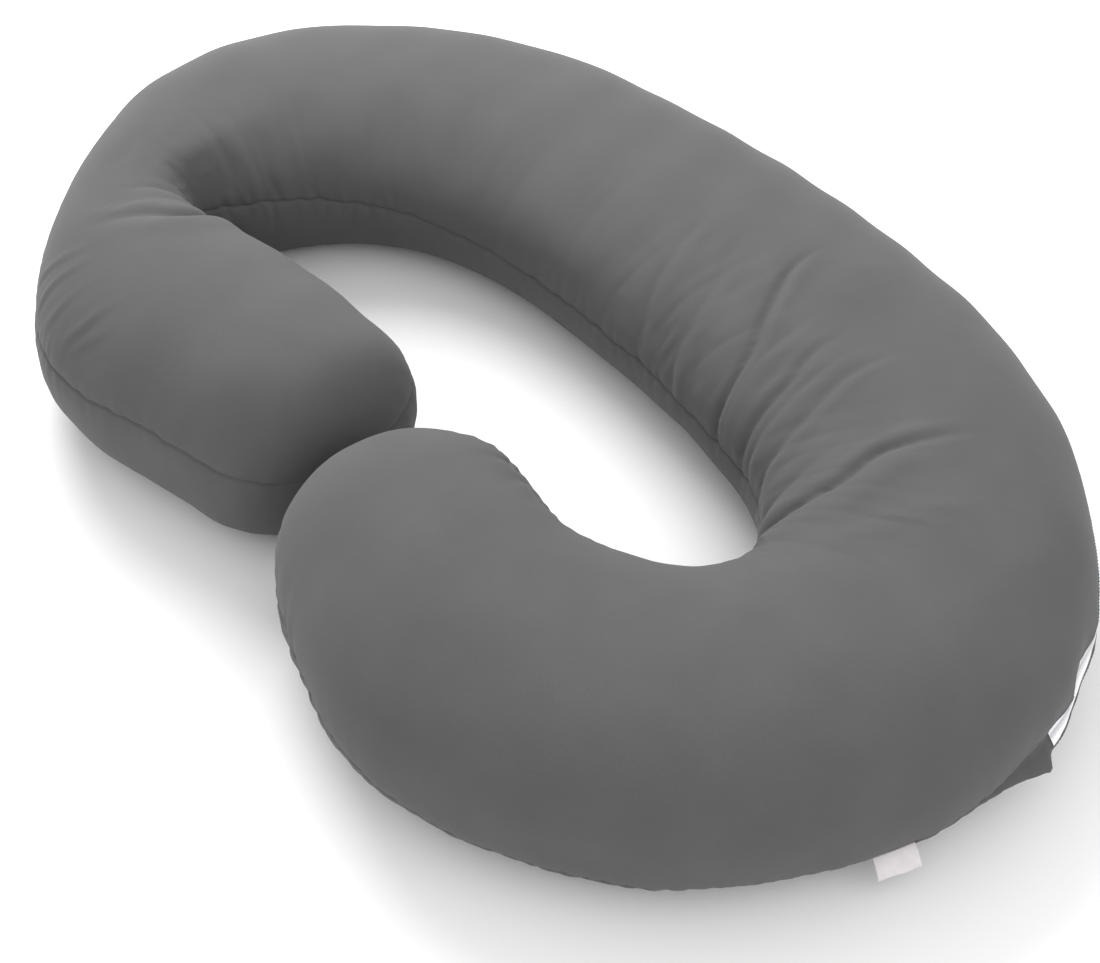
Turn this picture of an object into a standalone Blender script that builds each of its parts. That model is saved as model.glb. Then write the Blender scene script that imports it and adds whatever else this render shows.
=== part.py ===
"""Curled pregnancy pillow: one filled tube in a sewn jersey cover, its zip and its side label.

Metres, +Z up. The tube curls round in a wide C on the floor: the back runs along +Y, the foot end
bends round at +X, and the head end and the leg end come back along -Y until their tips nearly meet.
"""
import math
from collections import namedtuple

import bmesh
import bpy
import numpy as np
from mathutils import Matrix, Vector

# One row for each rib of the tube, from the head tip round to the leg tip. A rib runs from the
# tube's outer edge to its inner edge; crown is its height, and the seams are shares of that height.
Rib = namedtuple("Rib", "outer_x outer_y inner_x inner_y crown outer_seam inner_seam")
RIBS = (
    Rib(-0.018, -0.364, -0.024, -0.097, 0.215, 0.70, 0.60),
    Rib(-0.128, -0.371, -0.112, -0.110, 0.218, 0.66, 0.60),
    Rib(-0.250, -0.408, -0.252, -0.124, 0.220, 0.61, 0.60),
    Rib(-0.370, -0.392, -0.365, -0.157, 0.210, 0.63, 0.60),
    Rib(-0.490, -0.300, -0.415, -0.160, 0.200, 0.61, 0.60),
    Rib(-0.600, -0.165, -0.415, -0.125, 0.195, 0.56, 0.60),
    Rib(-0.645, -0.010, -0.390, -0.065, 0.192, 0.50, 0.58),
    Rib(-0.595, 0.145, -0.350, 0.000, 0.190, 0.46, 0.54),
    Rib(-0.470, 0.280, -0.285, 0.050, 0.190, 0.45, 0.50),
    Rib(-0.305, 0.360, -0.195, 0.080, 0.192, 0.45, 0.48),
    Rib(-0.110, 0.400, -0.080, 0.095, 0.196, 0.45, 0.48),
    Rib(0.095, 0.420, 0.050, 0.100, 0.200, 0.45, 0.48),
    Rib(0.290, 0.400, 0.175, 0.090, 0.203, 0.46, 0.48),
    Rib(0.460, 0.325, 0.265, 0.065, 0.205, 0.50, 0.50),
    Rib(0.590, 0.195, 0.310, 0.025, 0.206, 0.48, 0.52),
    Rib(0.645, 0.040, 0.320, -0.020, 0.208, 0.34, 0.55),
    Rib(0.610, -0.140, 0.300, -0.065, 0.210, 0.20, 0.60),
    Rib(0.515, -0.290, 0.260, -0.095, 0.214, 0.21, 0.66),
    Rib(0.370, -0.390, 0.210, -0.115, 0.220, 0.26, 0.71),
    Rib(0.230, -0.420, 0.155, -0.118, 0.228, 0.40, 0.74),
    Rib(0.089, -0.382, 0.091, -0.114, 0.223, 0.52, 0.74),
    Rib(-0.004, -0.363, 0.000, -0.132, 0.226, 0.56, 0.68),
)

# The filled section: a rounded oblong whose widest line lies a little under half way up.
SECTION_POWER = 2.25
WIDEST_AT = 0.48
FLOOR_SINK = 0.020
FINE_ANGLES = 240
FINE_STATIONS = 1200

# The rounded ends of the tube.
HEAD_CAP = 0.104
HEAD_CAP_POWER = 2.6
LEG_CAP = 0.117
LEG_CAP_POWER = 2.2
CAP_RINGS = 7
TIP_SHARE = 0.25

# Spacing of the rings along the tube, closer where the bends crease.
PLAIN_STEP = 0.023
BEND_STEP = 0.0125
CLOSE_RIBS = ((2.8, 4.6), (11.0, 14.8))
BEND_EASE = 0.7

# Marks beside each seam, and how far the sewing draws the cover in there.
SEAM_NEAR = 0.008
SEAM_FAR = 0.020
SEAM_PULL = 0.0045
SEAM_NEAR_PULL = 0.0012
TOP_POINTS = 10
BASE_POINTS = 8
CAP_OPENING = 1.6

# Creases where the bends crowd the cover: three plan points each, from the inner edge outwards.
Crease = namedtuple("Crease", "x0 y0 x1 y1 x2 y2 depth half_width")
CREASES = (
    Crease(0.334, -0.005, 0.349, 0.110, 0.389, 0.245, 0.014, 0.016),
    Crease(0.266, 0.060, 0.247, 0.165, 0.260, 0.266, 0.006, 0.013),
    Crease(0.220, 0.078, 0.199, 0.190, 0.199, 0.262, 0.006, 0.013),
    Crease(0.176, 0.080, 0.109, 0.220, 0.092, 0.305, 0.009, 0.014),
    Crease(0.092, 0.090, 0.049, 0.190, 0.025, 0.278, 0.004, 0.014),
    Crease(0.040, 0.090, -0.011, 0.180, -0.034, 0.256, 0.004, 0.014),
    Crease(-0.396, -0.145, -0.336, -0.190, -0.388, -0.310, 0.010, 0.019),
)
CREASE_POINTS = 15
CREASE_FADE_POWER = 1.5
CREASE_FLOOR = 0.40
CREASE_FULL = 0.80

# Where the zip and the corner of spare cloth lie on the outer seam, in rib numbers. Near its open
# end the zip stands out like a narrow shelf: how far its upper and its lower edge do, at each rib.
ZIP_OPEN_END = 14.60
ZIP_CLOSED_END = 11.6
ZIP_PULL = 0.003
ZIP_EASE = 0.25
SHELF_RIBS = (13.20, 13.70, 13.82, 13.92, 14.03, 14.14, 14.26, 14.33, 14.43, 14.51, 14.58, 14.70, 14.90)
SHELF_UPPER = (0.0, 0.002, 0.004, 0.003, -0.002, -0.006, -0.004, 0.001, -0.001, -0.004, -0.005, -0.002, 0.0)
SHELF_LOWER = (0.0, 0.003, 0.005, 0.006, 0.005, 0.003, 0.005, 0.004, 0.008, 0.008, 0.005, 0.002, 0.0)
SHELF_SPREAD = (0.55, 0.20)
CORNER_AT = 14.68
CORNER_REACH = 0.018
CORNER_ZIP_SIDE = 0.11
CORNER_FAR_SIDE = 0.50
CORNER_UNDERSIDE_SHARES = (0.55, 0.20)

# The zip.
PIECE_GAP = 0.0004
TAPE_THICKNESS = 0.0012
COIL_WIDTH = 0.005
COIL_HEIGHT = 0.0022
COIL_POINTS = 6
SLIDER_RING = 3
SLIDER_SIZE = (0.012, 0.009, 0.0045)
SLIDER_BEVEL = 0.001
PULL_SIZE = (0.022, 0.006, 0.0015)
PULL_BEVEL = 0.0006
PULL_OVERLAP = 0.007

# The folded label sewn into the outer seam.
LABEL_AT = 15.62
LABEL_WIDTH = 0.042
LABEL_REACH = 0.017
LABEL_ROOT_GAP = 0.0007
LABEL_THICKNESS = 0.0012
LABEL_DROOP = 0.006
LABEL_ACROSS = 5
LABEL_ALONG = 4

COVER_GREY = (0.160, 0.160, 0.162)
TAPE_WHITE = (0.80, 0.80, 0.81)
COIL_WHITE = (0.86, 0.86, 0.86)
SLIDER_METAL = (0.62, 0.62, 0.63)
LABEL_WHITE = (0.72, 0.71, 0.71)


def clear_scene():
    for item in list(bpy.data.objects):
        bpy.data.objects.remove(item, do_unlink=True)


def material(name, colour, roughness, metallic=0.0):
    made = bpy.data.materials.new(name)
    made.use_nodes = True
    shader = made.node_tree.nodes["Principled BSDF"]
    shader.inputs["Base Color"].default_value = (*colour, 1.0)
    shader.inputs["Roughness"].default_value = roughness
    shader.inputs["Metallic"].default_value = metallic
    return made


def smooth_step(value):
    value = np.clip(value, 0.0, 1.0)
    return value * value * (3.0 - 2.0 * value)


def natural_spline(rows, at):
    """Natural cubic through evenly numbered rows, read at the given row numbers."""
    rows = np.asarray(rows, float)
    count = len(rows)
    beside = np.ones(count - 1)
    system = 4.0 * np.eye(count) + np.diag(beside, 1) + np.diag(beside, -1)
    system[0, :2] = (1.0, 0.0)
    system[-1, -2:] = (0.0, 1.0)
    bend = np.zeros_like(rows)
    bend[1:-1] = 6.0 * (rows[2:] - 2.0 * rows[1:-1] + rows[:-2])
    bend = np.linalg.solve(system, bend)
    low = np.clip(np.floor(at).astype(int), 0, count - 2)
    part = (at - low)[:, None]
    rest = 1.0 - part
    straight = rest * rows[low] + part * rows[low + 1]
    curved = (rest ** 3 - rest) * bend[low] + (part ** 3 - part) * bend[low + 1]
    return straight + curved / 6.0


def middle_length(numbers):
    """Distance along the tube's middle line at each rib number."""
    ribs = natural_spline(RIBS, numbers)
    middle = 0.5 * (ribs[:, 0:2] + ribs[:, 2:4])
    steps = np.linalg.norm(np.diff(middle, axis=0), axis=1)
    return np.concatenate([[0.0], np.cumsum(steps)])


def cap_share(distance, length, power):
    """Share of the full section at a distance from the tip, for a rounded end."""
    inside = np.clip(distance / length, 0.0, 1.0)
    return (1.0 - (1.0 - inside) ** power) ** (1.0 / power)


def ring_numbers():
    """Rib number and section share of every ring, from the head tip to the leg tip."""
    fine = np.linspace(0.0, len(RIBS) - 1.0, FINE_STATIONS)
    length = middle_length(fine)
    total = length[-1]
    closeness = np.zeros_like(fine)
    for first, last in CLOSE_RIBS:
        rise = smooth_step((fine - first + BEND_EASE) / BEND_EASE)
        fall = smooth_step((last + BEND_EASE - fine) / BEND_EASE)
        closeness = np.maximum(closeness, rise * fall)
    step = PLAIN_STEP + (BEND_STEP - PLAIN_STEP) * closeness
    counted = np.concatenate([[0.0], np.cumsum(np.diff(length) / step[1:])])
    body_first = np.interp(HEAD_CAP, length, counted)
    body_last = np.interp(total - LEG_CAP, length, counted)
    body_count = int(round(body_last - body_first)) + 1
    body = np.interp(np.linspace(body_first, body_last, body_count), counted, length)
    first_turn = math.asin(TIP_SHARE)
    turns = np.linspace(first_turn, 0.5 * math.pi, CAP_RINGS + 1)[:-1]
    head = HEAD_CAP * (1.0 - np.cos(turns))
    leg = total - LEG_CAP * (1.0 - np.cos(turns[::-1]))
    distance = np.concatenate([head, body, leg])
    share = cap_share(distance, HEAD_CAP, HEAD_CAP_POWER)
    share = np.minimum(share, cap_share(total - distance, LEG_CAP, LEG_CAP_POWER))
    numbers = np.interp(distance, length, fine)
    numbers[np.argmin(np.abs(numbers - CORNER_AT))] = CORNER_AT
    return numbers, share


def corner_reach(number):
    """How far the corner of spare cloth stands out of the outer seam."""
    if number < CORNER_AT:
        share = 1.0 - (CORNER_AT - number) / CORNER_ZIP_SIDE
    else:
        share = 1.0 - (number - CORNER_AT) / CORNER_FAR_SIDE
    return CORNER_REACH * max(share, 0.0)


def zip_share(number):
    """1 along the zip, easing to 0 just past its ends."""
    rise = smooth_step((number - ZIP_CLOSED_END + ZIP_EASE) / ZIP_EASE)
    fall = smooth_step((ZIP_OPEN_END + ZIP_EASE - number) / ZIP_EASE)
    return float(rise * fall)


def crease_paths():
    """Each crease's path as plan points, with how much of its depth is left at each."""
    along = np.linspace(0.0, 1.0, CREASE_POINTS)
    rest = 1.0 - along
    paths = []
    for crease in CREASES:
        x = rest ** 2 * crease.x0 + 2.0 * rest * along * crease.x1 + along ** 2 * crease.x2
        y = rest ** 2 * crease.y0 + 2.0 * rest * along * crease.y1 + along ** 2 * crease.y2
        paths.append((x, y, crease.depth * (1.0 - along ** CREASE_FADE_POWER), crease.half_width))
    return paths


def crease_depth(x, y):
    """How far the creases draw the cover in at a plan point."""
    total = 0.0
    for path_x, path_y, depth, half_width in CREASE_PATHS:
        distance = np.hypot(path_x - x, path_y - y)
        nearest = int(np.argmin(distance))
        total += depth[nearest] * math.exp(-(distance[nearest] / half_width) ** 2)
    return total


def seam_pulls(number, count, inner_at):
    """How far each point of a ring is drawn in by the seams, the zip and the corner."""
    along_zip = zip_share(number)
    corner = corner_reach(number)
    upper = float(np.interp(number, SHELF_RIBS, SHELF_UPPER))
    lower = float(np.interp(number, SHELF_RIBS, SHELF_LOWER))
    beside_outer = SEAM_NEAR_PULL + (ZIP_PULL - SEAM_NEAR_PULL) * along_zip
    pull = np.zeros(count)
    pull[0] = SEAM_PULL + (ZIP_PULL - SEAM_PULL) * along_zip - 0.5 * (upper + lower)
    pull[1] = beside_outer - upper
    pull[-1] = beside_outer - lower - corner
    for place, (shelf_part, corner_part) in enumerate(zip(SHELF_SPREAD, CORNER_UNDERSIDE_SHARES)):
        pull[2 + place] -= shelf_part * upper
        pull[-2 - place] -= shelf_part * lower + corner_part * corner
    pull[inner_at] = SEAM_PULL
    pull[inner_at - 1] = SEAM_NEAR_PULL
    pull[inner_at + 1] = SEAM_NEAR_PULL
    return pull


def section_curve(rib, share, half_width):
    """The smooth section as fine points: their offset from the middle and their height."""
    widest = WIDEST_AT * rib.crown
    angle = np.linspace(0.0, 2.0 * math.pi, FINE_ANGLES + 1) - 0.5 * math.pi
    wide = np.sign(np.cos(angle)) * np.abs(np.cos(angle)) ** (2.0 / SECTION_POWER)
    high = np.sign(np.sin(angle)) * np.abs(np.sin(angle)) ** (2.0 / SECTION_POWER)
    over = (rib.crown - widest) * np.maximum(high, 0.0)
    under = (widest + FLOOR_SINK) * np.minimum(high, 0.0)
    return half_width * wide * share, np.maximum(widest + (over + under) * share, 0.0)


def section_ring(rib, number, share):
    """One closed ring: the outer seam first, over the top to the inner seam, and back underneath."""
    outer = np.array((rib.outer_x, rib.outer_y))
    inner = np.array((rib.inner_x, rib.inner_y))
    centre = 0.5 * (outer + inner)
    half_width = 0.5 * float(np.linalg.norm(outer - inner))
    across = 0.5 * (outer - inner) / half_width
    offset, z = section_curve(rib, share, half_width)
    run = np.concatenate([[0.0], np.cumsum(np.hypot(np.diff(offset), np.diff(z)))])
    half_way = FINE_ANGLES // 2
    widest = WIDEST_AT * rib.crown
    outer_height = widest + (rib.outer_seam * rib.crown - widest) * share
    inner_height = widest + (rib.inner_seam * rib.crown - widest) * share
    outer_run = float(np.interp(outer_height, z[:half_way + 1], run[:half_way + 1]))
    inner_run = float(np.interp(-inner_height, -z[half_way:], run[half_way:]))
    total = run[-1]
    opening = min(1.0, CAP_OPENING * share)
    near = SEAM_NEAR * opening
    far = SEAM_FAR * opening
    top = np.linspace(outer_run + far, inner_run - far, TOP_POINTS + 2)
    base = np.linspace(inner_run + far, outer_run + total - far, BASE_POINTS + 2)
    marks = [outer_run, outer_run + near, *top, inner_run - near, inner_run]
    marks += [inner_run + near, *base, outer_run + total - near]
    inner_at = marks.index(inner_run)
    marks = np.mod(marks, total)
    offsets = np.interp(marks, run, offset)
    heights = np.interp(marks, run, z)
    rise_round = np.roll(heights, -1) - np.roll(heights, 1)
    move_round = np.roll(offsets, -1) - np.roll(offsets, 1)
    normal = np.stack([rise_round, -move_round], axis=1)
    normal /= np.linalg.norm(normal, axis=1)[:, None]
    pull = seam_pulls(number, len(marks), inner_at) * opening
    for place, (side, height) in enumerate(zip(offsets, heights)):
        spot = centre + side * across
        rise = smooth_step((height / rib.crown - CREASE_FLOOR) / (CREASE_FULL - CREASE_FLOOR))
        pull[place] += crease_depth(spot[0], spot[1]) * rise
    offsets = offsets - pull * normal[:, 0]
    heights = np.maximum(heights - pull * normal[:, 1], 0.0)
    ring = np.empty((len(marks), 3))
    ring[:, 0:2] = centre + offsets[:, None] * across
    ring[:, 2] = heights
    return ring


def pillow_rings():
    numbers, shares = ring_numbers()
    ribs = [Rib(*row) for row in natural_spline(RIBS, numbers)]
    return np.array([section_ring(*row) for row in zip(ribs, numbers, shares)]), numbers


def loft(name, rings, finish, smooth=True):
    """A closed tube through the rings, with a fan on each end."""
    mesh = bpy.data.meshes.new(name)
    shape = bmesh.new()
    rows = [[shape.verts.new(point) for point in ring] for ring in rings]
    count = len(rows[0])
    for row, following in zip(rows, rows[1:]):
        for place in range(count):
            beside = (place + 1) % count
            corners = (row[place], row[beside], following[beside], following[place])
            shape.faces.new((corners[0], corners[1], corners[2]))
            shape.faces.new((corners[0], corners[2], corners[3]))
    for row in (rows[0], rows[-1]):
        tip = shape.verts.new(sum((vert.co for vert in row), Vector()) / count)
        for place in range(count):
            shape.faces.new((row[place], row[(place + 1) % count], tip))
    bmesh.ops.recalc_face_normals(shape, faces=shape.faces)
    shape.to_mesh(mesh)
    shape.free()
    if smooth:
        mesh.shade_smooth()
    keep(name, mesh, finish)


def keep(name, mesh, finish):
    made = bpy.data.objects.new(name, mesh)
    mesh.materials.clear()
    mesh.materials.append(finish)
    collection.objects.link(made)
    return made


def surface_normals(rings):
    """Outward directions at the points of the rings."""
    along = np.gradient(rings, axis=0)
    around = np.roll(rings, -1, axis=1) - np.roll(rings, 1, axis=1)
    normal = np.cross(around, along)
    return normal / np.linalg.norm(normal, axis=2)[:, :, None]


def zip_rows(rings, numbers):
    """The rings beside the zip, and the outward directions there."""
    inside = (numbers > ZIP_CLOSED_END) & (numbers < ZIP_OPEN_END)
    return rings[inside], surface_normals(rings)[inside]


def make_tape(rings, normals):
    """The woven tape, seated on the cover along the seam row and the marks beside it."""
    places = [-1, 0, 1]
    base = rings[:, places] + PIECE_GAP * normals[:, places]
    upper = base + TAPE_THICKNESS * normals[:, places]
    loft("zip_tape", np.concatenate([base, upper[:, ::-1]], axis=1), tape_finish, smooth=False)


def make_coil(rings, normals):
    """The closed coil, a low bead on the crown of the tape."""
    across = rings[:, 1] - rings[:, -1]
    across /= np.linalg.norm(across, axis=1)[:, None]
    out = normals[:, 0]
    base = rings[:, 0] + (3.0 * PIECE_GAP + TAPE_THICKNESS) * out
    turn = np.linspace(0.0, math.pi, COIL_POINTS)
    section = [(math.cos(angle) * 0.5 * COIL_WIDTH, math.sin(angle) * COIL_HEIGHT) for angle in turn]
    bead = [base + side * across + rise * out for side, rise in section]
    loft("zip_coil", np.stack(bead, axis=1)[1:-1], coil_finish)
    return base


def seated_box(name, size, bevel, finish, place):
    mesh = bpy.data.meshes.new(name)
    shape = bmesh.new()
    bmesh.ops.create_cube(shape, size=1.0)
    bmesh.ops.scale(shape, vec=size, verts=shape.verts)
    bmesh.ops.bevel(shape, geom=shape.edges[:], offset=bevel, segments=2, affect="EDGES", profile=0.5)
    bmesh.ops.transform(shape, matrix=place, verts=shape.verts)
    shape.to_mesh(mesh)
    shape.free()
    return keep(name, mesh, finish)


def make_slider(base, out):
    """The slider on the coil near the closed end, with its flat pull laid along the tape."""
    run = Vector(base[SLIDER_RING + 1] - base[SLIDER_RING - 1]).normalized()
    lift = Vector(out[SLIDER_RING])
    side = lift.cross(run).normalized()
    lift = run.cross(side)
    turn = Matrix((run, side, lift)).transposed().to_4x4()
    low = COIL_HEIGHT + 2.0 * PIECE_GAP
    centre = Vector(base[SLIDER_RING]) + lift * (low + 0.5 * SLIDER_SIZE[2])
    seated_box("zip_slider", SLIDER_SIZE, SLIDER_BEVEL, metal_finish, Matrix.Translation(centre) @ turn)
    over = 0.5 * SLIDER_SIZE[2] + PIECE_GAP + 0.5 * PULL_SIZE[2]
    pull_centre = centre + lift * over + run * (0.5 * SLIDER_SIZE[0] + 0.5 * PULL_SIZE[0] - PULL_OVERLAP)
    seated_box("zip_pull", PULL_SIZE, PULL_BEVEL, metal_finish, Matrix.Translation(pull_centre) @ turn)


def make_label(rings, numbers):
    """A folded ribbon whose two ends are caught in the outer seam."""
    row = rings[:, 0]
    out = surface_normals(rings)[:, 0]
    run = np.concatenate([[0.0], np.cumsum(np.linalg.norm(np.diff(row, axis=0), axis=1))])
    middle = np.interp(LABEL_AT, numbers, run)
    mesh = bpy.data.meshes.new("label")
    shape = bmesh.new()
    grid = []
    for step in range(LABEL_ALONG + 1):
        reach = step / LABEL_ALONG
        line = []
        for place in range(LABEL_ACROSS + 1):
            at = middle + LABEL_WIDTH * (place / LABEL_ACROSS - 0.5)
            root = np.array([np.interp(at, run, row[:, axis]) for axis in range(3)])
            away = np.array([np.interp(at, run, out[:, axis]) for axis in range(3)])
            point = root + away * (LABEL_ROOT_GAP + LABEL_REACH * reach)
            point[2] -= LABEL_DROOP * reach ** 2
            line.append(shape.verts.new(point))
        grid.append(line)
    for line, following in zip(grid, grid[1:]):
        for place in range(LABEL_ACROSS):
            shape.faces.new((line[place], line[place + 1], following[place + 1], following[place]))
    shape.to_mesh(mesh)
    shape.free()
    made = keep("label", mesh, label_finish)
    thicken = made.modifiers.new("thickness", "SOLIDIFY")
    thicken.thickness = LABEL_THICKNESS
    thicken.offset = 0.0
    return made


def stand_on_origin(objects):
    """Moves the whole pillow so that its box stands on the origin by its bottom centre."""
    points = np.array([tuple(vert.co) for item in objects for vert in item.data.vertices])
    low = points.min(axis=0)
    high = points.max(axis=0)
    shift = Vector((-0.5 * (low[0] + high[0]), -0.5 * (low[1] + high[1]), 0.0))
    for item in objects:
        item.data.transform(Matrix.Translation(shift))


clear_scene()
collection = bpy.data.collections.new("pregnancy_pillow")
bpy.context.scene.collection.children.link(collection)
cover_finish = material("grey_jersey_cover", COVER_GREY, 0.85)
tape_finish = material("white_zip_tape", TAPE_WHITE, 0.8)
coil_finish = material("white_nylon_coil", COIL_WHITE, 0.45)
metal_finish = material("zip_slider_metal", SLIDER_METAL, 0.35, 1.0)
label_finish = material("white_label_ribbon", LABEL_WHITE, 0.6)

CREASE_PATHS = crease_paths()
pillow_shape, rib_numbers = pillow_rings()
loft("pillow", pillow_shape, cover_finish)
zip_shape, zip_normals = zip_rows(pillow_shape, rib_numbers)
make_tape(zip_shape, zip_normals)
coil_base = make_coil(zip_shape, zip_normals)
make_slider(coil_base, zip_normals[:, 0])
make_label(pillow_shape, rib_numbers)
stand_on_origin(list(collection.objects))
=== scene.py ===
import math
from collections import namedtuple

import bmesh
import bpy
import numpy as np
from mathutils import Matrix, Vector


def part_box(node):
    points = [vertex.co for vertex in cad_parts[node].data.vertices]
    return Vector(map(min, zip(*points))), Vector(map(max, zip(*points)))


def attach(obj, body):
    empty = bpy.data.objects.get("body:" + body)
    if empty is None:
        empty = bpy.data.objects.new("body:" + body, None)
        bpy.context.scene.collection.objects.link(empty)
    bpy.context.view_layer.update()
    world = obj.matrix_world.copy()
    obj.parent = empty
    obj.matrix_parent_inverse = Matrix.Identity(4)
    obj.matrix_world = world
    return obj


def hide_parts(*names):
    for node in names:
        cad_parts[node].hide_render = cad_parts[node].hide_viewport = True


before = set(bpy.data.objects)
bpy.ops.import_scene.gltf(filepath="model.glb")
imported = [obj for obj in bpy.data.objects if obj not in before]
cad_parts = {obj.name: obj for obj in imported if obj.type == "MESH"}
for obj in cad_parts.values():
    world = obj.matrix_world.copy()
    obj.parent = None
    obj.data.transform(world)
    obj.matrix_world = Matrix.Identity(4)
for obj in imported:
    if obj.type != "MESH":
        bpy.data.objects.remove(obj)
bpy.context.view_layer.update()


# The filled cover. Two panels of grey cotton jersey, cut as a wide C, are sewn together along the
# outer and the inner edge and stuffed tight with fibre. The foot bend crowds the inner edge,
# so the cloth folds there, and the sewing puckers it along both seams.

# One row for each rib of the tube, from the head tip round to the leg tip. A rib runs from the
# tube's outer edge to its inner edge; crown is its height, and the seams are shares of that height.
RIBS = (
    (-0.018, -0.364, -0.024, -0.097, 0.215, 0.60, 0.60),
    (-0.128, -0.371, -0.112, -0.110, 0.218, 0.625, 0.60),
    (-0.250, -0.408, -0.252, -0.124, 0.220, 0.61, 0.60),
    (-0.370, -0.392, -0.365, -0.157, 0.210, 0.63, 0.60),
    (-0.490, -0.300, -0.415, -0.160, 0.200, 0.61, 0.60),
    (-0.600, -0.165, -0.415, -0.125, 0.195, 0.56, 0.60),
    (-0.645, -0.010, -0.390, -0.065, 0.192, 0.50, 0.58),
    (-0.595, 0.145, -0.350, 0.000, 0.190, 0.46, 0.54),
    (-0.470, 0.280, -0.285, 0.050, 0.190, 0.45, 0.50),
    (-0.305, 0.360, -0.195, 0.080, 0.192, 0.45, 0.48),
    (-0.110, 0.400, -0.080, 0.095, 0.196, 0.45, 0.48),
    (0.095, 0.420, 0.050, 0.100, 0.200, 0.45, 0.48),
    (0.290, 0.400, 0.175, 0.090, 0.203, 0.46, 0.48),
    (0.460, 0.325, 0.265, 0.065, 0.205, 0.50, 0.50),
    (0.590, 0.195, 0.310, 0.025, 0.206, 0.48, 0.52),
    (0.645, 0.040, 0.320, -0.020, 0.208, 0.34, 0.55),
    (0.610, -0.140, 0.300, -0.065, 0.210, 0.20, 0.60),
    (0.515, -0.290, 0.260, -0.095, 0.214, 0.21, 0.66),
    (0.370, -0.390, 0.210, -0.115, 0.220, 0.26, 0.71),
    (0.230, -0.420, 0.155, -0.118, 0.228, 0.40, 0.74),
    (0.089, -0.382, 0.091, -0.114, 0.223, 0.52, 0.74),
    (-0.004, -0.363, 0.000, -0.132, 0.226, 0.56, 0.68),
)
STAND_SHIFT = (-0.00380, 0.00080, 0.0)
SECTION_POWER = 2.25
WIDEST_AT = 0.48
FLOOR_SINK = 0.020
FINE_ANGLES = 360
FINE_STATIONS = 2400
HEAD_CAP = 0.104
HEAD_CAP_POWER = 2.6
LEG_CAP = 0.117
LEG_CAP_POWER = 2.2
CAP_RINGS = 22
TIP_SHARE = 0.06
BODY_RINGS = 740
CAP_OPENING = 1.6

# How closely the rings stand, by rib number: closest at the two bends, where the cloth creases.
CLOSE_RIBS = (0.0, 2.4, 3.2, 5.0, 6.2, 9.6, 10.8, 14.4, 15.4, 21.0)
CLOSENESS = (1.0, 1.0, 1.25, 1.25, 0.9, 0.9, 1.5, 1.5, 0.95, 1.0)

# Rows of points at fixed distances from each seam, and how many lie freely between them.
SEAM_ROWS = (0.0012, 0.0026, 0.0042, 0.0060, 0.0072, 0.0088, 0.0110, 0.0138, 0.0170, 0.0205)
TOP_FREE = 66
TOP_LEAN = 0.35
BASE_FREE = 18

# The seams wander a little, as hand-fed sewing does: waves of these lengths along the pillow.
SEAM_WANDER = 0.0007
WANDER_LENGTHS = (0.021, 0.034, 0.055, 0.120)
WANDER_STARTS = ((0.3, 2.1, 4.0, 5.5), (1.2, 5.1, 0.4, 2.9))
ZIP_STEADIES = 0.85


def smooth_step(value):
    value = np.clip(value, 0.0, 1.0)
    return value * value * (3.0 - 2.0 * value)


def natural_spline(rows, at):
    """Natural cubic through evenly numbered rows, read at the given row numbers."""
    rows = np.asarray(rows, float)
    count = len(rows)
    beside = np.ones(count - 1)
    system = 4.0 * np.eye(count) + np.diag(beside, 1) + np.diag(beside, -1)
    system[0, :2] = (1.0, 0.0)
    system[-1, -2:] = (0.0, 1.0)
    bend = np.zeros_like(rows)
    bend[1:-1] = 6.0 * (rows[2:] - 2.0 * rows[1:-1] + rows[:-2])
    bend = np.linalg.solve(system, bend)
    low = np.clip(np.floor(at).astype(int), 0, count - 2)
    part = (at - low)[:, None]
    rest = 1.0 - part
    straight = rest * rows[low] + part * rows[low + 1]
    curved = (rest ** 3 - rest) * bend[low] + (part ** 3 - part) * bend[low + 1]
    return straight + curved / 6.0


def cap_share(distance, length, power):
    """Share of the full section at a distance from the tip, for a rounded end."""
    inside = np.clip(distance / length, 0.0, 1.0)
    return (1.0 - (1.0 - inside) ** power) ** (1.0 / power)


def run_length(points):
    steps = np.linalg.norm(np.diff(points, axis=0), axis=1)
    return np.concatenate([[0.0], np.cumsum(steps)])


def ring_stations():
    """Rib number and section share of every ring, from the head tip to the leg tip."""
    fine = np.linspace(0.0, len(RIBS) - 1.0, FINE_STATIONS)
    ribs = natural_spline(RIBS, fine)
    length = run_length(0.5 * (ribs[:, 0:2] + ribs[:, 2:4]))
    spread = 0.5 * length + 0.5 * run_length(ribs[:, 0:2])
    closeness = np.interp(fine[1:], CLOSE_RIBS, CLOSENESS)
    spread = np.concatenate([[0.0], np.cumsum(np.diff(spread) * closeness)])
    total = length[-1]
    first = np.interp(HEAD_CAP, length, spread)
    last = np.interp(total - LEG_CAP, length, spread)
    body = np.interp(np.linspace(first, last, BODY_RINGS), spread, length)
    turns = np.linspace(math.asin(TIP_SHARE), 0.5 * math.pi, CAP_RINGS + 1)[:-1]
    head = HEAD_CAP * (1.0 - np.cos(turns))
    leg = total - LEG_CAP * (1.0 - np.cos(turns[::-1]))
    distance = np.concatenate([head, body, leg])
    share = cap_share(distance, HEAD_CAP, HEAD_CAP_POWER)
    share = np.minimum(share, cap_share(total - distance, LEG_CAP, LEG_CAP_POWER))
    return np.interp(distance, length, fine), share


Cover = namedtuple("Cover", "numbers shares points seam_distance height_share panel")


def wander(run, starts):
    """How far a seam strays from its line at each distance along the pillow."""
    pairs = zip(WANDER_LENGTHS, starts)
    waves = [np.sin(run * (2.0 * math.pi / length) + start) for length, start in pairs]
    return SEAM_WANDER * np.sum(waves, axis=0)


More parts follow.
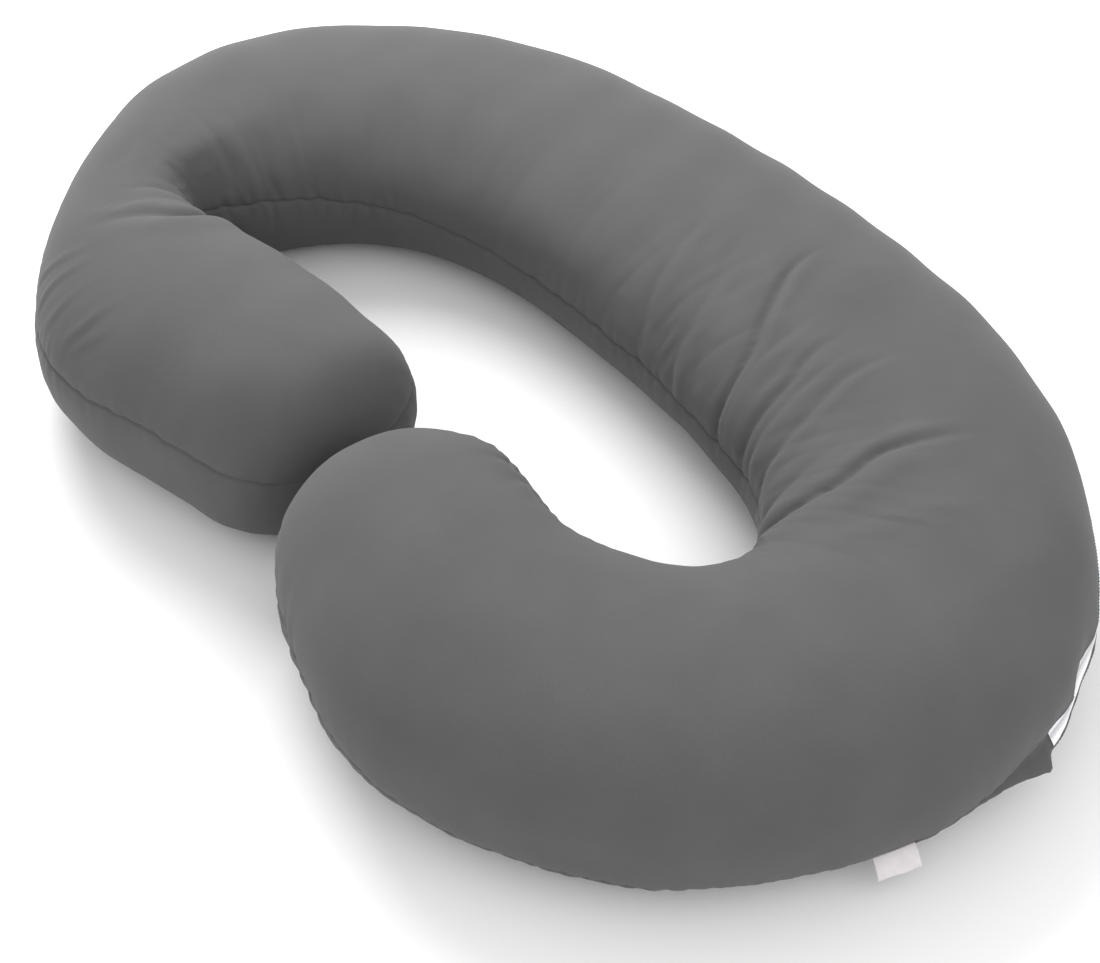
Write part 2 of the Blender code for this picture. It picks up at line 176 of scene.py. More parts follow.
def plain_cover():
    """The smooth filled shape as rows of points: outer seam, over the top, inner seam, underneath."""
    numbers, shares = ring_stations()
    ribs = natural_spline(RIBS, numbers)
    outer_stray = wander(run_length(ribs[:, 0:2]), WANDER_STARTS[0])
    outer_stray = outer_stray * (1.0 - ZIP_STEADIES * zip_share(numbers))
    inner_stray = wander(run_length(ribs[:, 2:4]), WANDER_STARTS[1])
    seam_rows = np.array(SEAM_ROWS)
    angle = np.linspace(0.0, 2.0 * math.pi, FINE_ANGLES + 1) - 0.5 * math.pi
    wide = np.sign(np.cos(angle)) * np.abs(np.cos(angle)) ** (2.0 / SECTION_POWER)
    high = np.sign(np.sin(angle)) * np.abs(np.sin(angle)) ** (2.0 / SECTION_POWER)
    half_way = FINE_ANGLES // 2
    even = np.linspace(0.0, 1.0, TOP_FREE + 2)[1:-1]
    top_shares = (1.0 + TOP_LEAN) * even - TOP_LEAN * even ** 2
    rings = []
    away = []
    heights_share = []
    panels = []
    for rib, share, outer_off, inner_off in zip(ribs, shares, outer_stray, inner_stray):
        outer, inner, crown = rib[0:2], rib[2:4], rib[4]
        half = 0.5 * (outer - inner)
        centre = 0.5 * (outer + inner)
        radius = float(np.linalg.norm(half))
        across = half / radius
        widest = WIDEST_AT * crown
        over = (crown - widest) * np.maximum(high, 0.0)
        under = (widest + FLOOR_SINK) * np.minimum(high, 0.0)
        z = np.maximum(widest + (over + under) * share, 0.0)
        offset = radius * wide * share
        run = np.concatenate([[0.0], np.cumsum(np.hypot(np.diff(offset), np.diff(z)))])
        pole = widest + (rib[5:7] * crown - widest) * share
        outer_run = np.interp(pole[0], z[:half_way + 1], run[:half_way + 1]) + outer_off * share
        inner_run = np.interp(-pole[1], -z[half_way:], run[half_way:]) + inner_off * share
        total = run[-1]
        rows = seam_rows * min(1.0, CAP_OPENING * share)
        top = outer_run + rows[-1] + top_shares * (inner_run - outer_run - 2.0 * rows[-1])
        base = np.linspace(inner_run + rows[-1], outer_run + total - rows[-1], BASE_FREE + 2)[1:-1]
        marks = [[outer_run], outer_run + rows, top, inner_run - rows[::-1], [inner_run]]
        marks += [inner_run + rows, base, outer_run + total - rows[::-1]]
        marks = np.concatenate(marks)
        gap = np.minimum(np.abs(marks - outer_run), np.abs(marks - inner_run))
        gap = np.minimum(gap, np.abs(marks - outer_run - total))
        crown_run = run[half_way]
        flat_top = crown_run - marks
        flat_base = marks - crown_run - 0.5 * total
        flat_base[0] += total
        marks = np.mod(marks, total)
        offsets = np.interp(marks, run, offset)
        heights = np.interp(marks, run, z)
        ring = np.empty((len(marks), 3))
        ring[:, 0:2] = centre + offsets[:, None] * across
        ring[:, 2] = heights
        rings.append(ring + np.array(STAND_SHIFT))
        away.append(gap)
        heights_share.append(heights / crown)
        panels.append((centre + flat_top[:, None] * across, centre + flat_base[:, None] * across))
    gathered = [np.array(rows) for rows in (rings, away, heights_share, panels)]
    return Cover(numbers, shares, *gathered)


def outward(points):
    """Outward directions at the points of the rings."""
    along = np.gradient(points, axis=0)
    around = np.roll(points, -1, axis=1) - np.roll(points, 1, axis=1)
    normal = np.cross(around, along)
    return normal / np.maximum(np.linalg.norm(normal, axis=2), 1e-9)[:, :, None]


# Folds that the photograph shows: plan points from the inner edge outwards, the valley's depth and
# half width, and the height and place of the soft ridge beside it (to the left going outwards).
Fold = namedtuple("Fold", "path depth width ridge ridge_at start end roll")
HIP_FOLDS = (
    Fold(((0.306, 0.016), (0.326, 0.052), (0.339, 0.088), (0.340, 0.112), (0.339, 0.132),
          (0.343, 0.155), (0.356, 0.188), (0.369, 0.218), (0.385, 0.245)),
         0.0066, 0.0054, 0.0028, 0.013, 0.03, 0.48, 0.0036),
    Fold(((0.262, 0.052), (0.254, 0.098), (0.250, 0.142), (0.246, 0.165), (0.244, 0.199),
          (0.248, 0.230), (0.256, 0.266)),
         0.0032, 0.0052, 0.0015, -0.010, 0.03, 0.45, 0.0010),
    Fold(((0.216, 0.072), (0.210, 0.112), (0.208, 0.148), (0.202, 0.165), (0.197, 0.191),
          (0.197, 0.215), (0.195, 0.258)),
         0.0034, 0.0050, 0.0017, 0.010, 0.03, 0.40, 0.0010),
    Fold(((0.230, 0.068), (0.225, 0.112), (0.222, 0.152), (0.221, 0.175), (0.221, 0.212), (0.227, 0.250)),
         0.0020, 0.0050, 0.0010, -0.009, 0.03, 0.35, 0.0000),
    Fold(((0.172, 0.075), (0.160, 0.112), (0.149, 0.145), (0.131, 0.175), (0.115, 0.205),
          (0.099, 0.234), (0.090, 0.264), (0.088, 0.305)),
         0.0060, 0.0044, 0.0026, -0.012, 0.03, 0.66, 0.0018),
    Fold(((0.184, 0.078), (0.170, 0.118), (0.163, 0.152), (0.163, 0.173), (0.162, 0.194),
          (0.156, 0.216), (0.145, 0.250)),
         0.0022, 0.0066, 0.0012, -0.012, 0.03, 0.40, 0.0000),
    Fold(((0.088, 0.088), (0.070, 0.140), (0.052, 0.189), (0.029, 0.225), (0.021, 0.278)),
         0.0020, 0.0080, 0.0012, -0.013, 0.03, 0.40, 0.0000),
    Fold(((0.036, 0.090), (0.006, 0.140), (-0.016, 0.201), (-0.024, 0.221), (-0.038, 0.256)),
         0.0020, 0.0080, 0.0012, -0.013, 0.03, 0.40, 0.0000),
    Fold(((0.290, 0.020), (0.297, 0.070), (0.301, 0.115), (0.299, 0.150)),
         0.0024, 0.0064, 0.0014, 0.012, 0.03, 0.30, 0.0000),
)
HEAD_FOLDS = (
    Fold(((-0.392, -0.130), (-0.370, -0.160), (-0.356, -0.195), (-0.362, -0.225), (-0.374, -0.255),
          (-0.384, -0.285), (-0.400, -0.318)),
         0.0074, 0.0090, 0.0026, -0.015, 0.03, 0.34, 0.0034),
    Fold(((-0.388, -0.371), (-0.383, -0.362), (-0.369, -0.342), (-0.359, -0.325), (-0.348, -0.300)),
         0.0009, 0.0038, 0.0016, 0.006, 0.15, 0.30, 0.0000),
    Fold(((-0.355, -0.392), (-0.355, -0.374), (-0.347, -0.352), (-0.339, -0.331), (-0.334, -0.305)),
         0.0009, 0.0040, 0.0017, 0.006, 0.15, 0.30, 0.0000),
    Fold(((-0.325, -0.399), (-0.318, -0.385), (-0.316, -0.374), (-0.311, -0.353), (-0.304, -0.325)),
         0.0008, 0.0038, 0.0015, 0.006, 0.15, 0.30, 0.0000),
    Fold(((-0.288, -0.400), (-0.275, -0.381), (-0.270, -0.362), (-0.265, -0.346), (-0.260, -0.318)),
         0.0010, 0.0040, 0.0022, 0.006, 0.15, 0.30, 0.0000),
    Fold(((-0.276, -0.400), (-0.258, -0.384), (-0.247, -0.367), (-0.238, -0.345)),
         0.0008, 0.0036, 0.0014, 0.006, 0.15, 0.30, 0.0000),
)
FOLD_SAMPLES = 70
FOLD_REACH = 0.060
FOLD_LOW = 0.30
FOLD_HIGH = 0.72
VALLEY_POWER = 1.5
RIDGE_WIDTH = 0.75
ROLL_AT = 0.024
ROLL_WIDTH = 0.017


def fold_relief(cover_points, height_share, folds):
    """How far the folds move the cloth in (negative) or out at every point."""
    relief = np.zeros(height_share.shape)
    rise = smooth_step((height_share - FOLD_LOW) / (FOLD_HIGH - FOLD_LOW))
    for fold in folds:
        path = natural_spline(fold.path, np.linspace(0.0, len(fold.path) - 1.0, FOLD_SAMPLES))
        low = path.min(axis=0) - FOLD_REACH
        high = path.max(axis=0) + FOLD_REACH
        plan = cover_points[:, :, 0:2]
        near = np.all((plan > low) & (plan < high), axis=2) & (rise > 0.0)
        spots = plan[near]
        gaps = spots[:, None, :] - path[None, :, :]
        distance = np.hypot(gaps[:, :, 0], gaps[:, :, 1])
        nearest = np.argmin(distance, axis=1)
        picked = np.arange(len(spots))
        heading = np.gradient(path, axis=0)[nearest]
        offset = gaps[picked, nearest]
        left = heading[:, 0] * offset[:, 1] - heading[:, 1] * offset[:, 0]
        side = np.sign(left) * distance[picked, nearest]
        along = nearest / (FOLD_SAMPLES - 1.0)
        fade = smooth_step(along / fold.start)
        fade = fade * (1.0 - smooth_step((along - fold.end) / (1.0 - fold.end)))
        valley = -fold.depth * np.exp(-(np.abs(side) / fold.width) ** VALLEY_POWER)
        ridge_width = RIDGE_WIDTH * abs(fold.ridge_at)
        ridge = fold.ridge * np.exp(-((side - fold.ridge_at) / ridge_width) ** 2)
        away_from_ridge = -math.copysign(1.0, fold.ridge_at) * side
        roll = fold.roll * np.exp(-((away_from_ridge - ROLL_AT) / ROLL_WIDTH) ** 2)
        relief[near] += (valley + ridge + roll) * fade * rise[near]
    return relief


# Smaller wrinkles fan out from the inner edge of both bends: rib range, how many, and their depth.
WRINKLE_FANS = (
    (10.4, 15.4, 20, 0.0010),
    (2.6, 6.6, 18, 0.0016),
    (6.8, 10.2, 10, 0.0008),
)
WRINKLE_STRAY = 0.06
WRINKLE_REACH = (0.28, 0.62)
WRINKLE_SWAY = 0.012
WRINKLE_STRENGTH = (0.35, 1.0)
WRINKLE_WIDTH = (0.0045, 0.0080)
WRINKLE_SEED = 7


def fan_folds():
    """Wrinkles that start at the inner edge and run outwards, each a little different."""
    chance = np.random.default_rng(WRINKLE_SEED)
    folds = []
    for first, last, count, depth in WRINKLE_FANS:
        places = np.linspace(first, last, count) + chance.uniform(-WRINKLE_STRAY, WRINKLE_STRAY, count)
        for place in places:
            rib = natural_spline(RIBS, np.array([place]))[0]
            rib_shift = np.array(STAND_SHIFT[0:2])
            outer = rib[0:2] + rib_shift
            inner = rib[2:4] + rib_shift
            reach = chance.uniform(*WRINKLE_REACH)
            sway = chance.uniform(-WRINKLE_SWAY, WRINKLE_SWAY)
            ahead = outer - inner
            beside = np.array((-ahead[1], ahead[0])) / np.linalg.norm(ahead)
            steps = np.linspace(-0.02, reach, 5)
            bows = [beside * sway * math.sin(2.6 * step / reach) for step in steps]
            path = [inner + ahead * step + bow for step, bow in zip(steps, bows)]
            strength = depth * chance.uniform(*WRINKLE_STRENGTH)
            width = chance.uniform(*WRINKLE_WIDTH)
            folds.append(Fold(path, strength, width, 0.35 * strength, width * 1.7, 0.16, 0.30, 0.0))
    return folds


# The sewing gathers the cloth in short puckers beside each seam.
PUCKER_PITCH = (0.013, 0.027)
PUCKER_DEPTH = (0.0007, 0.0021)
PUCKER_LENGTH = (0.016, 0.042)
PUCKER_WIDTH = (0.0026, 0.0050)
PUCKER_SLANT = 0.35
PUCKER_MARGIN = 0.02
PUCKER_REACH = 0.045
PUCKER_SPREAD = 0.030
PUCKER_SHOULDER = 2.4
SHOULDER_SHARE = 0.45
PUCKER_SEED = 11


def pucker_relief(cover, seam_column, columns, depth_scale):
    """Short valleys that leave one seam on one side, with the distance from the seam as their length."""
    chance = np.random.default_rng(PUCKER_SEED + seam_column + len(columns))
    relief = np.zeros(cover.seam_distance.shape)
    seam = run_length(cover.points[:, seam_column])
    away = cover.seam_distance[:, columns]
    place = PUCKER_MARGIN
    while place < seam[-1] - PUCKER_MARGIN:
        number = np.interp(place, seam, cover.numbers)
        depth = chance.uniform(*PUCKER_DEPTH) * depth_scale(number)
        length = chance.uniform(*PUCKER_LENGTH)
        width = chance.uniform(*PUCKER_WIDTH)
        slant = chance.uniform(-PUCKER_SLANT, PUCKER_SLANT)
        rows = np.abs(seam - place) < PUCKER_REACH
        offset = seam[rows][:, None] - place - slant * away[rows]
        widen = 1.0 + away[rows] / PUCKER_SPREAD
        valley = np.exp(-(offset / (width * widen)) ** 2)
        shoulder = np.exp(-(offset / (PUCKER_SHOULDER * width * widen)) ** 2)
        at_thread = 0.45 + 0.55 * smooth_step(away[rows] / 0.005)
        fade = np.exp(-(away[rows] / length) ** 1.6) * at_thread
        relief[np.ix_(rows, columns)] += depth * fade * (SHOULDER_SHARE * shoulder - valley)
        place += chance.uniform(*PUCKER_PITCH)
    return relief


# The zip runs in the outer seam at the foot bend. Past its end a corner of spare cloth sticks out.
ZIP_OPEN_END = 14.60
ZIP_CLOSED_END = 11.6
ZIP_EASE = 0.16
ZIP_RECESS = 0.0022
ZIP_RECESS_EASE = 0.0012
ZIP_LIP = 0.0012
ZIP_LIP_AT = 0.0095
ZIP_LIP_WIDTH = 0.0030
ZIP_HALF_WIDTH = 0.0066
SHELF_RIBS = (13.20, 13.70, 13.82, 13.92, 14.03, 14.14, 14.26, 14.33, 14.43, 14.51, 14.58, 14.70, 14.90)
SHELF_UPPER = (0.0, 0.002, 0.004, 0.003, -0.002, -0.006, -0.004, 0.001, -0.001, -0.004, -0.005, -0.002, 0.0)
SHELF_LOWER = (0.0, 0.003, 0.005, 0.006, 0.005, 0.003, 0.004, 0.004, 0.006, 0.0065, 0.006, 0.002, 0.0)
SHELF_FADE = 0.034
CORNER_AT = 14.68
CORNER_REACH = 0.0184
CORNER_LIFT = -0.42
CORNER_ZIP_SIDE = 0.10
CORNER_FAR_SIDE = 0.55
CORNER_HOLLOW = 1.8
CORNER_MARKS = (0.0, 0.0026, 0.0060, 0.0088, 0.0138, 0.0205, 0.040)
CORNER_SHARES = (0.0, 0.62, 1.0, 0.88, 0.66, 0.40, 0.0)

# The corner gathers the cloth behind it, so the outer edge is nipped in between it and the label.
NIP_RIBS = (14.50, 14.62, 14.70, 14.80, 14.90, 15.00, 15.12, 15.25, 15.40, 15.60)
NIP_DEPTHS = (0.0, 0.0005, 0.003, 0.0055, 0.0055, 0.0045, 0.0025, 0.0, -0.002, 0.0)
NIP_LEVEL = 0.025
NIP_FADE = 0.085

SEAM_GROOVE = 0.0022
SEAM_GROOVE_WIDTH = 0.0019
SEAM_DRAW = 0.0017
SEAM_DRAW_WIDTH = 0.0105
SEAM_DRAW_POWER = 1.6

LUMP_WAVES = 22
LUMP_LENGTHS = (0.075, 0.22)
LUMP_DEPTH = 0.00025
LUMP_START = 0.004
LUMP_RISE = 0.030
LUMP_SEED = 3


def zip_share(numbers):
    """1 along the zip, easing to 0 just past its ends."""
    rise = smooth_step((numbers - ZIP_CLOSED_END + ZIP_EASE) / ZIP_EASE)
    fall = smooth_step((ZIP_OPEN_END + 0.3 * ZIP_EASE - numbers) / (0.3 * ZIP_EASE))
    return rise * fall


def lump_relief(points):
    """The uneven filling, as a few long waves in many directions."""
    chance = np.random.default_rng(LUMP_SEED)
    relief = np.zeros(points.shape[:2])
    for wave in range(LUMP_WAVES):
        heading = chance.normal(size=3)
        heading /= np.linalg.norm(heading)
        length = chance.uniform(*LUMP_LENGTHS)
        phase = chance.uniform(0.0, 2.0 * math.pi)
        relief += np.sin(points @ heading * (2.0 * math.pi / length) + phase)
    return relief * LUMP_DEPTH


OUTER_SEAM = 0
INNER_SEAM = 2 * len(SEAM_ROWS) + TOP_FREE + 1
TOP_COLUMNS = np.arange(1, INNER_SEAM)
BASE_FIRST = INNER_SEAM + 1

cover = plain_cover()
column_count = cover.points.shape[1]
BASE_COLUMNS = np.arange(BASE_FIRST, column_count)
outer_half = np.zeros(column_count, bool)
outer_half[:INNER_SEAM // 2] = True
outer_half[(INNER_SEAM + column_count) // 2:] = True

shape = cover.points.copy()
relief = fold_relief(shape, cover.height_share, HIP_FOLDS + HEAD_FOLDS)
relief += fold_relief(shape, cover.height_share, fan_folds())
relief += lump_relief(shape) * smooth_step((shape[:, :, 2] - LUMP_START) / LUMP_RISE)
shape += relief[:, :, None] * outward(cover.points)


# The panels are cut flatter than the pillow ends up, so each bend has cloth to spare along its inner
# edge. A cloth simulation with the filling's pressure shows how that spare length buckles; only the
# buckles are taken from it, not the swelling.
SIM_STEP = 2
SIM_FRAMES = 20
SIM_PRESSURE = 4.0
SIM_CAP = 0.009
SIM_HELD_BELOW = 0.004
SIM_RIBS = (0.0, 2.2, 3.2, 5.0, 6.2, 9.4, 10.8, 14.2, 15.0, 21.0)
SIM_SHARES = (0.0, 0.0, 0.35, 0.35, 0.12, 0.12, 0.45, 0.45, 0.0, 0.0)
SIM_ACROSS = (0.0, 0.28, 0.60, 0.86, 0.95, 1.0)
SIM_ACROSS_SHARES = (0.0, 0.0, 1.0, 1.0, 0.0, 0.0)
SPARE_RIBS = (0.0, 2.0, 3.2, 4.6, 6.5, 9.5, 11.0, 12.2, 14.0, 15.2, 17.0, 21.0)
SPARE_CLOTH = (0.02, 0.03, 0.12, 0.12, 0.05, 0.04, 0.09, 0.13, 0.13, 0.07, 0.03, 0.02)
SWELL_ROWS = 13
SWELL_COLUMNS = 9


def unbent(points, numbers):
    """The rings laid out along a gentler curve: the same at the outer edge, longer at the inner one."""
    outer = points[:, 0, 0:2]
    inner = points[:, INNER_SEAM // SIM_STEP, 0:2]
    centre = 0.5 * (outer + inner)
    radius = 0.5 * np.linalg.norm(outer - inner, axis=1)
    angle = np.unwrap(np.arctan2(outer[:, 1] - inner[:, 1], outer[:, 0] - inner[:, 0]))
    spare = np.interp(numbers, SPARE_RIBS, SPARE_CLOTH)
    laid = points.copy()
    spot = centre[0].copy()
    heading = angle[0]
    for row in range(1, len(points)):
        turned = angle[row] - angle[row - 1]
        step = centre[row] - centre[row - 1]
        length = float(np.linalg.norm(step))
        back_turn = heading - angle[row - 1]
        cosine, sine = math.cos(back_turn), math.sin(back_turn)
        step = np.array((cosine * step[0] - sine * step[1], sine * step[0] + cosine * step[1]))
        longer = 1.0 + abs(spare[row] * turned) * radius[row] / max(length, 1e-6)
        spot = spot + step * longer
        heading += turned * (1.0 - spare[row])
        turn_by = heading - angle[row]
        cosine, sine = math.cos(turn_by), math.sin(turn_by)
        offset = points[row, :, 0:2] - centre[row]
        laid[row, :, 0] = spot[0] + cosine * offset[:, 0] - sine * offset[:, 1]
        laid[row, :, 1] = spot[1] + sine * offset[:, 0] + cosine * offset[:, 1]
    return laid


def bell(reach):
    """Weights for a moving average, largest in the middle."""
    weight = np.hanning(2 * reach + 3)[1:-1]
    return weight / weight.sum()


def drawn_out(rows, count):
    """Rows with the first and the last one repeated past the ends."""
    before = np.repeat(rows[:1], count, axis=0)
    after = np.repeat(rows[-1:], count, axis=0)
    return np.concatenate([before, rows, after])


def swelling(field, rows, columns):
    """The broad part of a field on the rings."""
    longer = drawn_out(field, rows)
    along = sum(share * longer[place:place + len(field)] for place, share in enumerate(bell(rows)))
    return sum(share * np.roll(along, place - columns, axis=1) for place, share in enumerate(bell(columns)))


def buckles(points, numbers):
    """What the simulated cloth adds to the given rings: its displacement without the broad swelling."""
    rows = points[::SIM_STEP, ::SIM_STEP]
    count, columns = rows.shape[:2]
    laid = unbent(rows, numbers[::SIM_STEP])
    vertices = np.concatenate([rows.reshape(-1, 3), [rows[0].mean(axis=0), rows[-1].mean(axis=0)]])
    rest = np.concatenate([laid.reshape(-1, 3), [laid[0].mean(axis=0), laid[-1].mean(axis=0)]])
    faces = []
    for row in range(count - 1):
        for column in range(columns):
            first = row * columns
            beside = (column + 1) % columns
            second = first + columns
            faces.append((first + column, second + column, second + beside, first + beside))
    last = (count - 1) * columns
    for column in range(columns):
        beside = (column + 1) % columns
        faces.append((column, beside, count * columns))
        faces.append((last + beside, last + column, count * columns + 1))
    mesh = bpy.data.meshes.new("cloth_trial")
    mesh.from_pydata(vertices.tolist(), [], faces)
    trial = bpy.data.objects.new("cloth_trial", mesh)
    bpy.context.scene.collection.objects.link(trial)
    trial.shape_key_add(name="placed")
    key = trial.shape_key_add(name="cut")
    key.data.foreach_set("co", rest.astype(np.float32).ravel())
    key.value = 0.0
    floor_group = trial.vertex_groups.new(name="on_floor")
    floor_group.add(np.flatnonzero(vertices[:, 2] < SIM_HELD_BELOW).tolist(), 1.0, "REPLACE")
    cloth = trial.modifiers.new("cloth", "CLOTH")
    settings = cloth.settings
    settings.quality = 6
    settings.mass = 0.25
    settings.tension_stiffness = 25.0
    settings.compression_stiffness = 25.0
    settings.shear_stiffness = 8.0
    settings.bending_stiffness = 0.15
    settings.use_pressure = True
    settings.uniform_pressure_force = SIM_PRESSURE
    settings.effector_weights.gravity = 0.0
    settings.rest_shape_key = key
    settings.vertex_group_mass = "on_floor"
    cloth.collision_settings.use_collision = False
    cloth.point_cache.frame_start = 1
    cloth.point_cache.frame_end = SIM_FRAMES
    scene = bpy.context.scene
    for number in range(1, SIM_FRAMES + 1):
        scene.frame_set(number)
    seen = trial.evaluated_get(bpy.context.evaluated_depsgraph_get())
    moved = np.empty(len(vertices) * 3, np.float32)
    seen.data.vertices.foreach_get("co", moved)
    moved = moved.reshape(-1, 3)[:-2].reshape(rows.shape) - rows
    scene.frame_set(1)
    bpy.data.objects.remove(trial, do_unlink=True)
    bpy.data.meshes.remove(mesh)
    fine = moved - swelling(moved, SWELL_ROWS, SWELL_COLUMNS)
    size = np.linalg.norm(fine, axis=2)
    fine *= (SIM_CAP * np.tanh(size / SIM_CAP) / np.maximum(size, 1e-9))[:, :, None]
    return fine


def spread_over(field, row_count, columns):
    """A coarse field on every ring and column."""
    rows = np.arange(row_count) / SIM_STEP
    low = np.minimum(rows.astype(int), len(field) - 2)
    part = (rows - low)[:, None, None]
    along = field[low] * (1.0 - part) + field[low + 1] * part
    places = np.arange(columns) / SIM_STEP
    low = places.astype(int)
    part = (places - low)[None, :, None]
    return along[:, low] * (1.0 - part) + along[:, (low + 1) % field.shape[1]] * part


added = spread_over(buckles(shape, cover.numbers), shape.shape[0], column_count)
over_top = np.arange(column_count) / INNER_SEAM
at_bends = np.interp(cover.numbers, SIM_RIBS, SIM_SHARES)
inner_part = np.interp(over_top, SIM_ACROSS, SIM_ACROSS_SHARES)
shape += added * at_bends[:, None, None] * inner_part[None, :, None]

direction = outward(shape)
opening = np.minimum(1.0, CAP_OPENING * cover.shares)[:, None]
along_zip = zip_share(cover.numbers)[:, None] * outer_half[None, :]
away = cover.seam_distance
groove = SEAM_GROOVE * np.exp(-(away / SEAM_GROOVE_WIDTH) ** 2)
draw = SEAM_DRAW * np.exp(-(away / SEAM_DRAW_WIDTH) ** SEAM_DRAW_POWER)
recess = ZIP_RECESS * (1.0 - smooth_step((away - ZIP_HALF_WIDTH) / ZIP_RECESS_EASE))
lip = ZIP_LIP * np.exp(-((away - ZIP_LIP_AT) / ZIP_LIP_WIDTH) ** 2)
relief = -(groove + draw) * opening * (1.0 - along_zip) - (recess - lip + 0.5 * draw) * along_zip


LEG_TIP_FROM = 18.8
LEG_TIP_PUCKER = 2.0
HEAD_TIP_PUCKER = 0.5
ZIP_CALM = 0.80


def pucker_scale(number):
    """Puckers are strongest at both tips and small beside the zip."""
    leg_tip = float(smooth_step(number - LEG_TIP_FROM))
    head_tip = float(smooth_step(1.0 - number))
    tip = 1.0 + LEG_TIP_PUCKER * leg_tip + HEAD_TIP_PUCKER * head_tip
    beside_zip = float(zip_share(np.array([number]))[0])
    return tip * (1.0 - ZIP_CALM * beside_zip)


outer_top = TOP_COLUMNS[:len(TOP_COLUMNS) // 2]
inner_top = TOP_COLUMNS[len(TOP_COLUMNS) // 2:]
inner_base = BASE_COLUMNS[:len(BASE_COLUMNS) // 2]
outer_base = BASE_COLUMNS[len(BASE_COLUMNS) // 2:]
for seam, beside_seam in ((OUTER_SEAM, (outer_top, outer_base)), (INNER_SEAM, (inner_top, inner_base))):
    for columns in beside_seam:
        relief += pucker_relief(cover, seam, columns, pucker_scale)
before_corner = 1.0 - (CORNER_AT - cover.numbers) / CORNER_ZIP_SIDE
after_corner = 1.0 - (cover.numbers - CORNER_AT) / CORNER_FAR_SIDE
corner_share = np.clip(np.minimum(before_corner, after_corner), 0.0, 1.0)
corner = CORNER_REACH * corner_share ** CORNER_HOLLOW
ear = np.zeros(relief.shape)
ear[:, outer_base] = np.interp(away[:, outer_base], CORNER_MARKS, CORNER_SHARES)
relief += corner[:, None] * ear
side_of_seam = np.ones(column_count)
side_of_seam[outer_base] = -1.0
from_middle = np.clip(side_of_seam * away / ZIP_HALF_WIDTH, -1.0, 1.0)
upper_out = np.interp(cover.numbers, SHELF_RIBS, SHELF_UPPER)[:, None]
lower_out = np.interp(cover.numbers, SHELF_RIBS, SHELF_LOWER)[:, None]
shelf = 0.5 * (upper_out + lower_out) + 0.5 * (upper_out - lower_out) * from_middle
fade = 1.0 - smooth_step((away - ZIP_HALF_WIDTH) / SHELF_FADE)
relief += shelf * fade * outer_half[None, :]
nip = np.interp(cover.numbers, NIP_RIBS, NIP_DEPTHS)[:, None]
relief -= nip * (1.0 - smooth_step((away - NIP_LEVEL) / NIP_FADE)) * outer_half[None, :]
shape += relief[:, :, None] * direction
shape[:, :, 2] += CORNER_LIFT * corner[:, None] * ear
on_floor = cover.points[:, :, 2] <= 0.0
shape[:, :, 2] = np.maximum(shape[:, :, 2], 0.0)
shape[:, :, 2][on_floor] = 0.0


def linear(colour):
    """A hex sRGB colour as the linear colour that a shader takes."""
    channels = []
    for place in (1, 3, 5):
        part = int(colour[place:place + 2], 16) / 255.0
        channels.append(part / 12.92 if part <= 0.04045 else ((part + 0.055) / 1.055) ** 2.4)
    return tuple(channels) + (1.0,)


def add_node(tree, kind, settings=None, sockets=None):
    """Adds a node, sets it up, and fills each socket with a value or a link."""
    node = tree.nodes.new(kind)
    for name, value in (settings or {}).items():
        setattr(node, name, value)
    for name, value in (sockets or {}).items():
        if isinstance(value, bpy.types.NodeSocket):
            tree.links.new(value, node.inputs[name])
        else:
            node.inputs[name].default_value = value
    return node


def new_material(name):
    """An empty material, its node tree and its main shader."""
    made = bpy.data.materials.new(name)
    made.use_nodes = True
    return made, made.node_tree, made.node_tree.nodes["Principled BSDF"]


# Grey cotton jersey, knitted with a 1.0 mm stitch and dyed one mid grey; matt, with a soft sheen
# from the fibre ends. The stitch is drawn at 2.2 mm so that it shows.
STITCH_WIDE = 0.0022
STITCH_LONG = 0.0019
STITCH_RELIEF = 0.00022
STITCH_STRAY = 0.0030
STRAYS_PER_METRE = 60.0
FUZZ_PER_METRE = 900.0
MOTTLE_PER_METRE = 14.0
FIBRE_PER_METRE = (900.0, 240.0, 1.0)


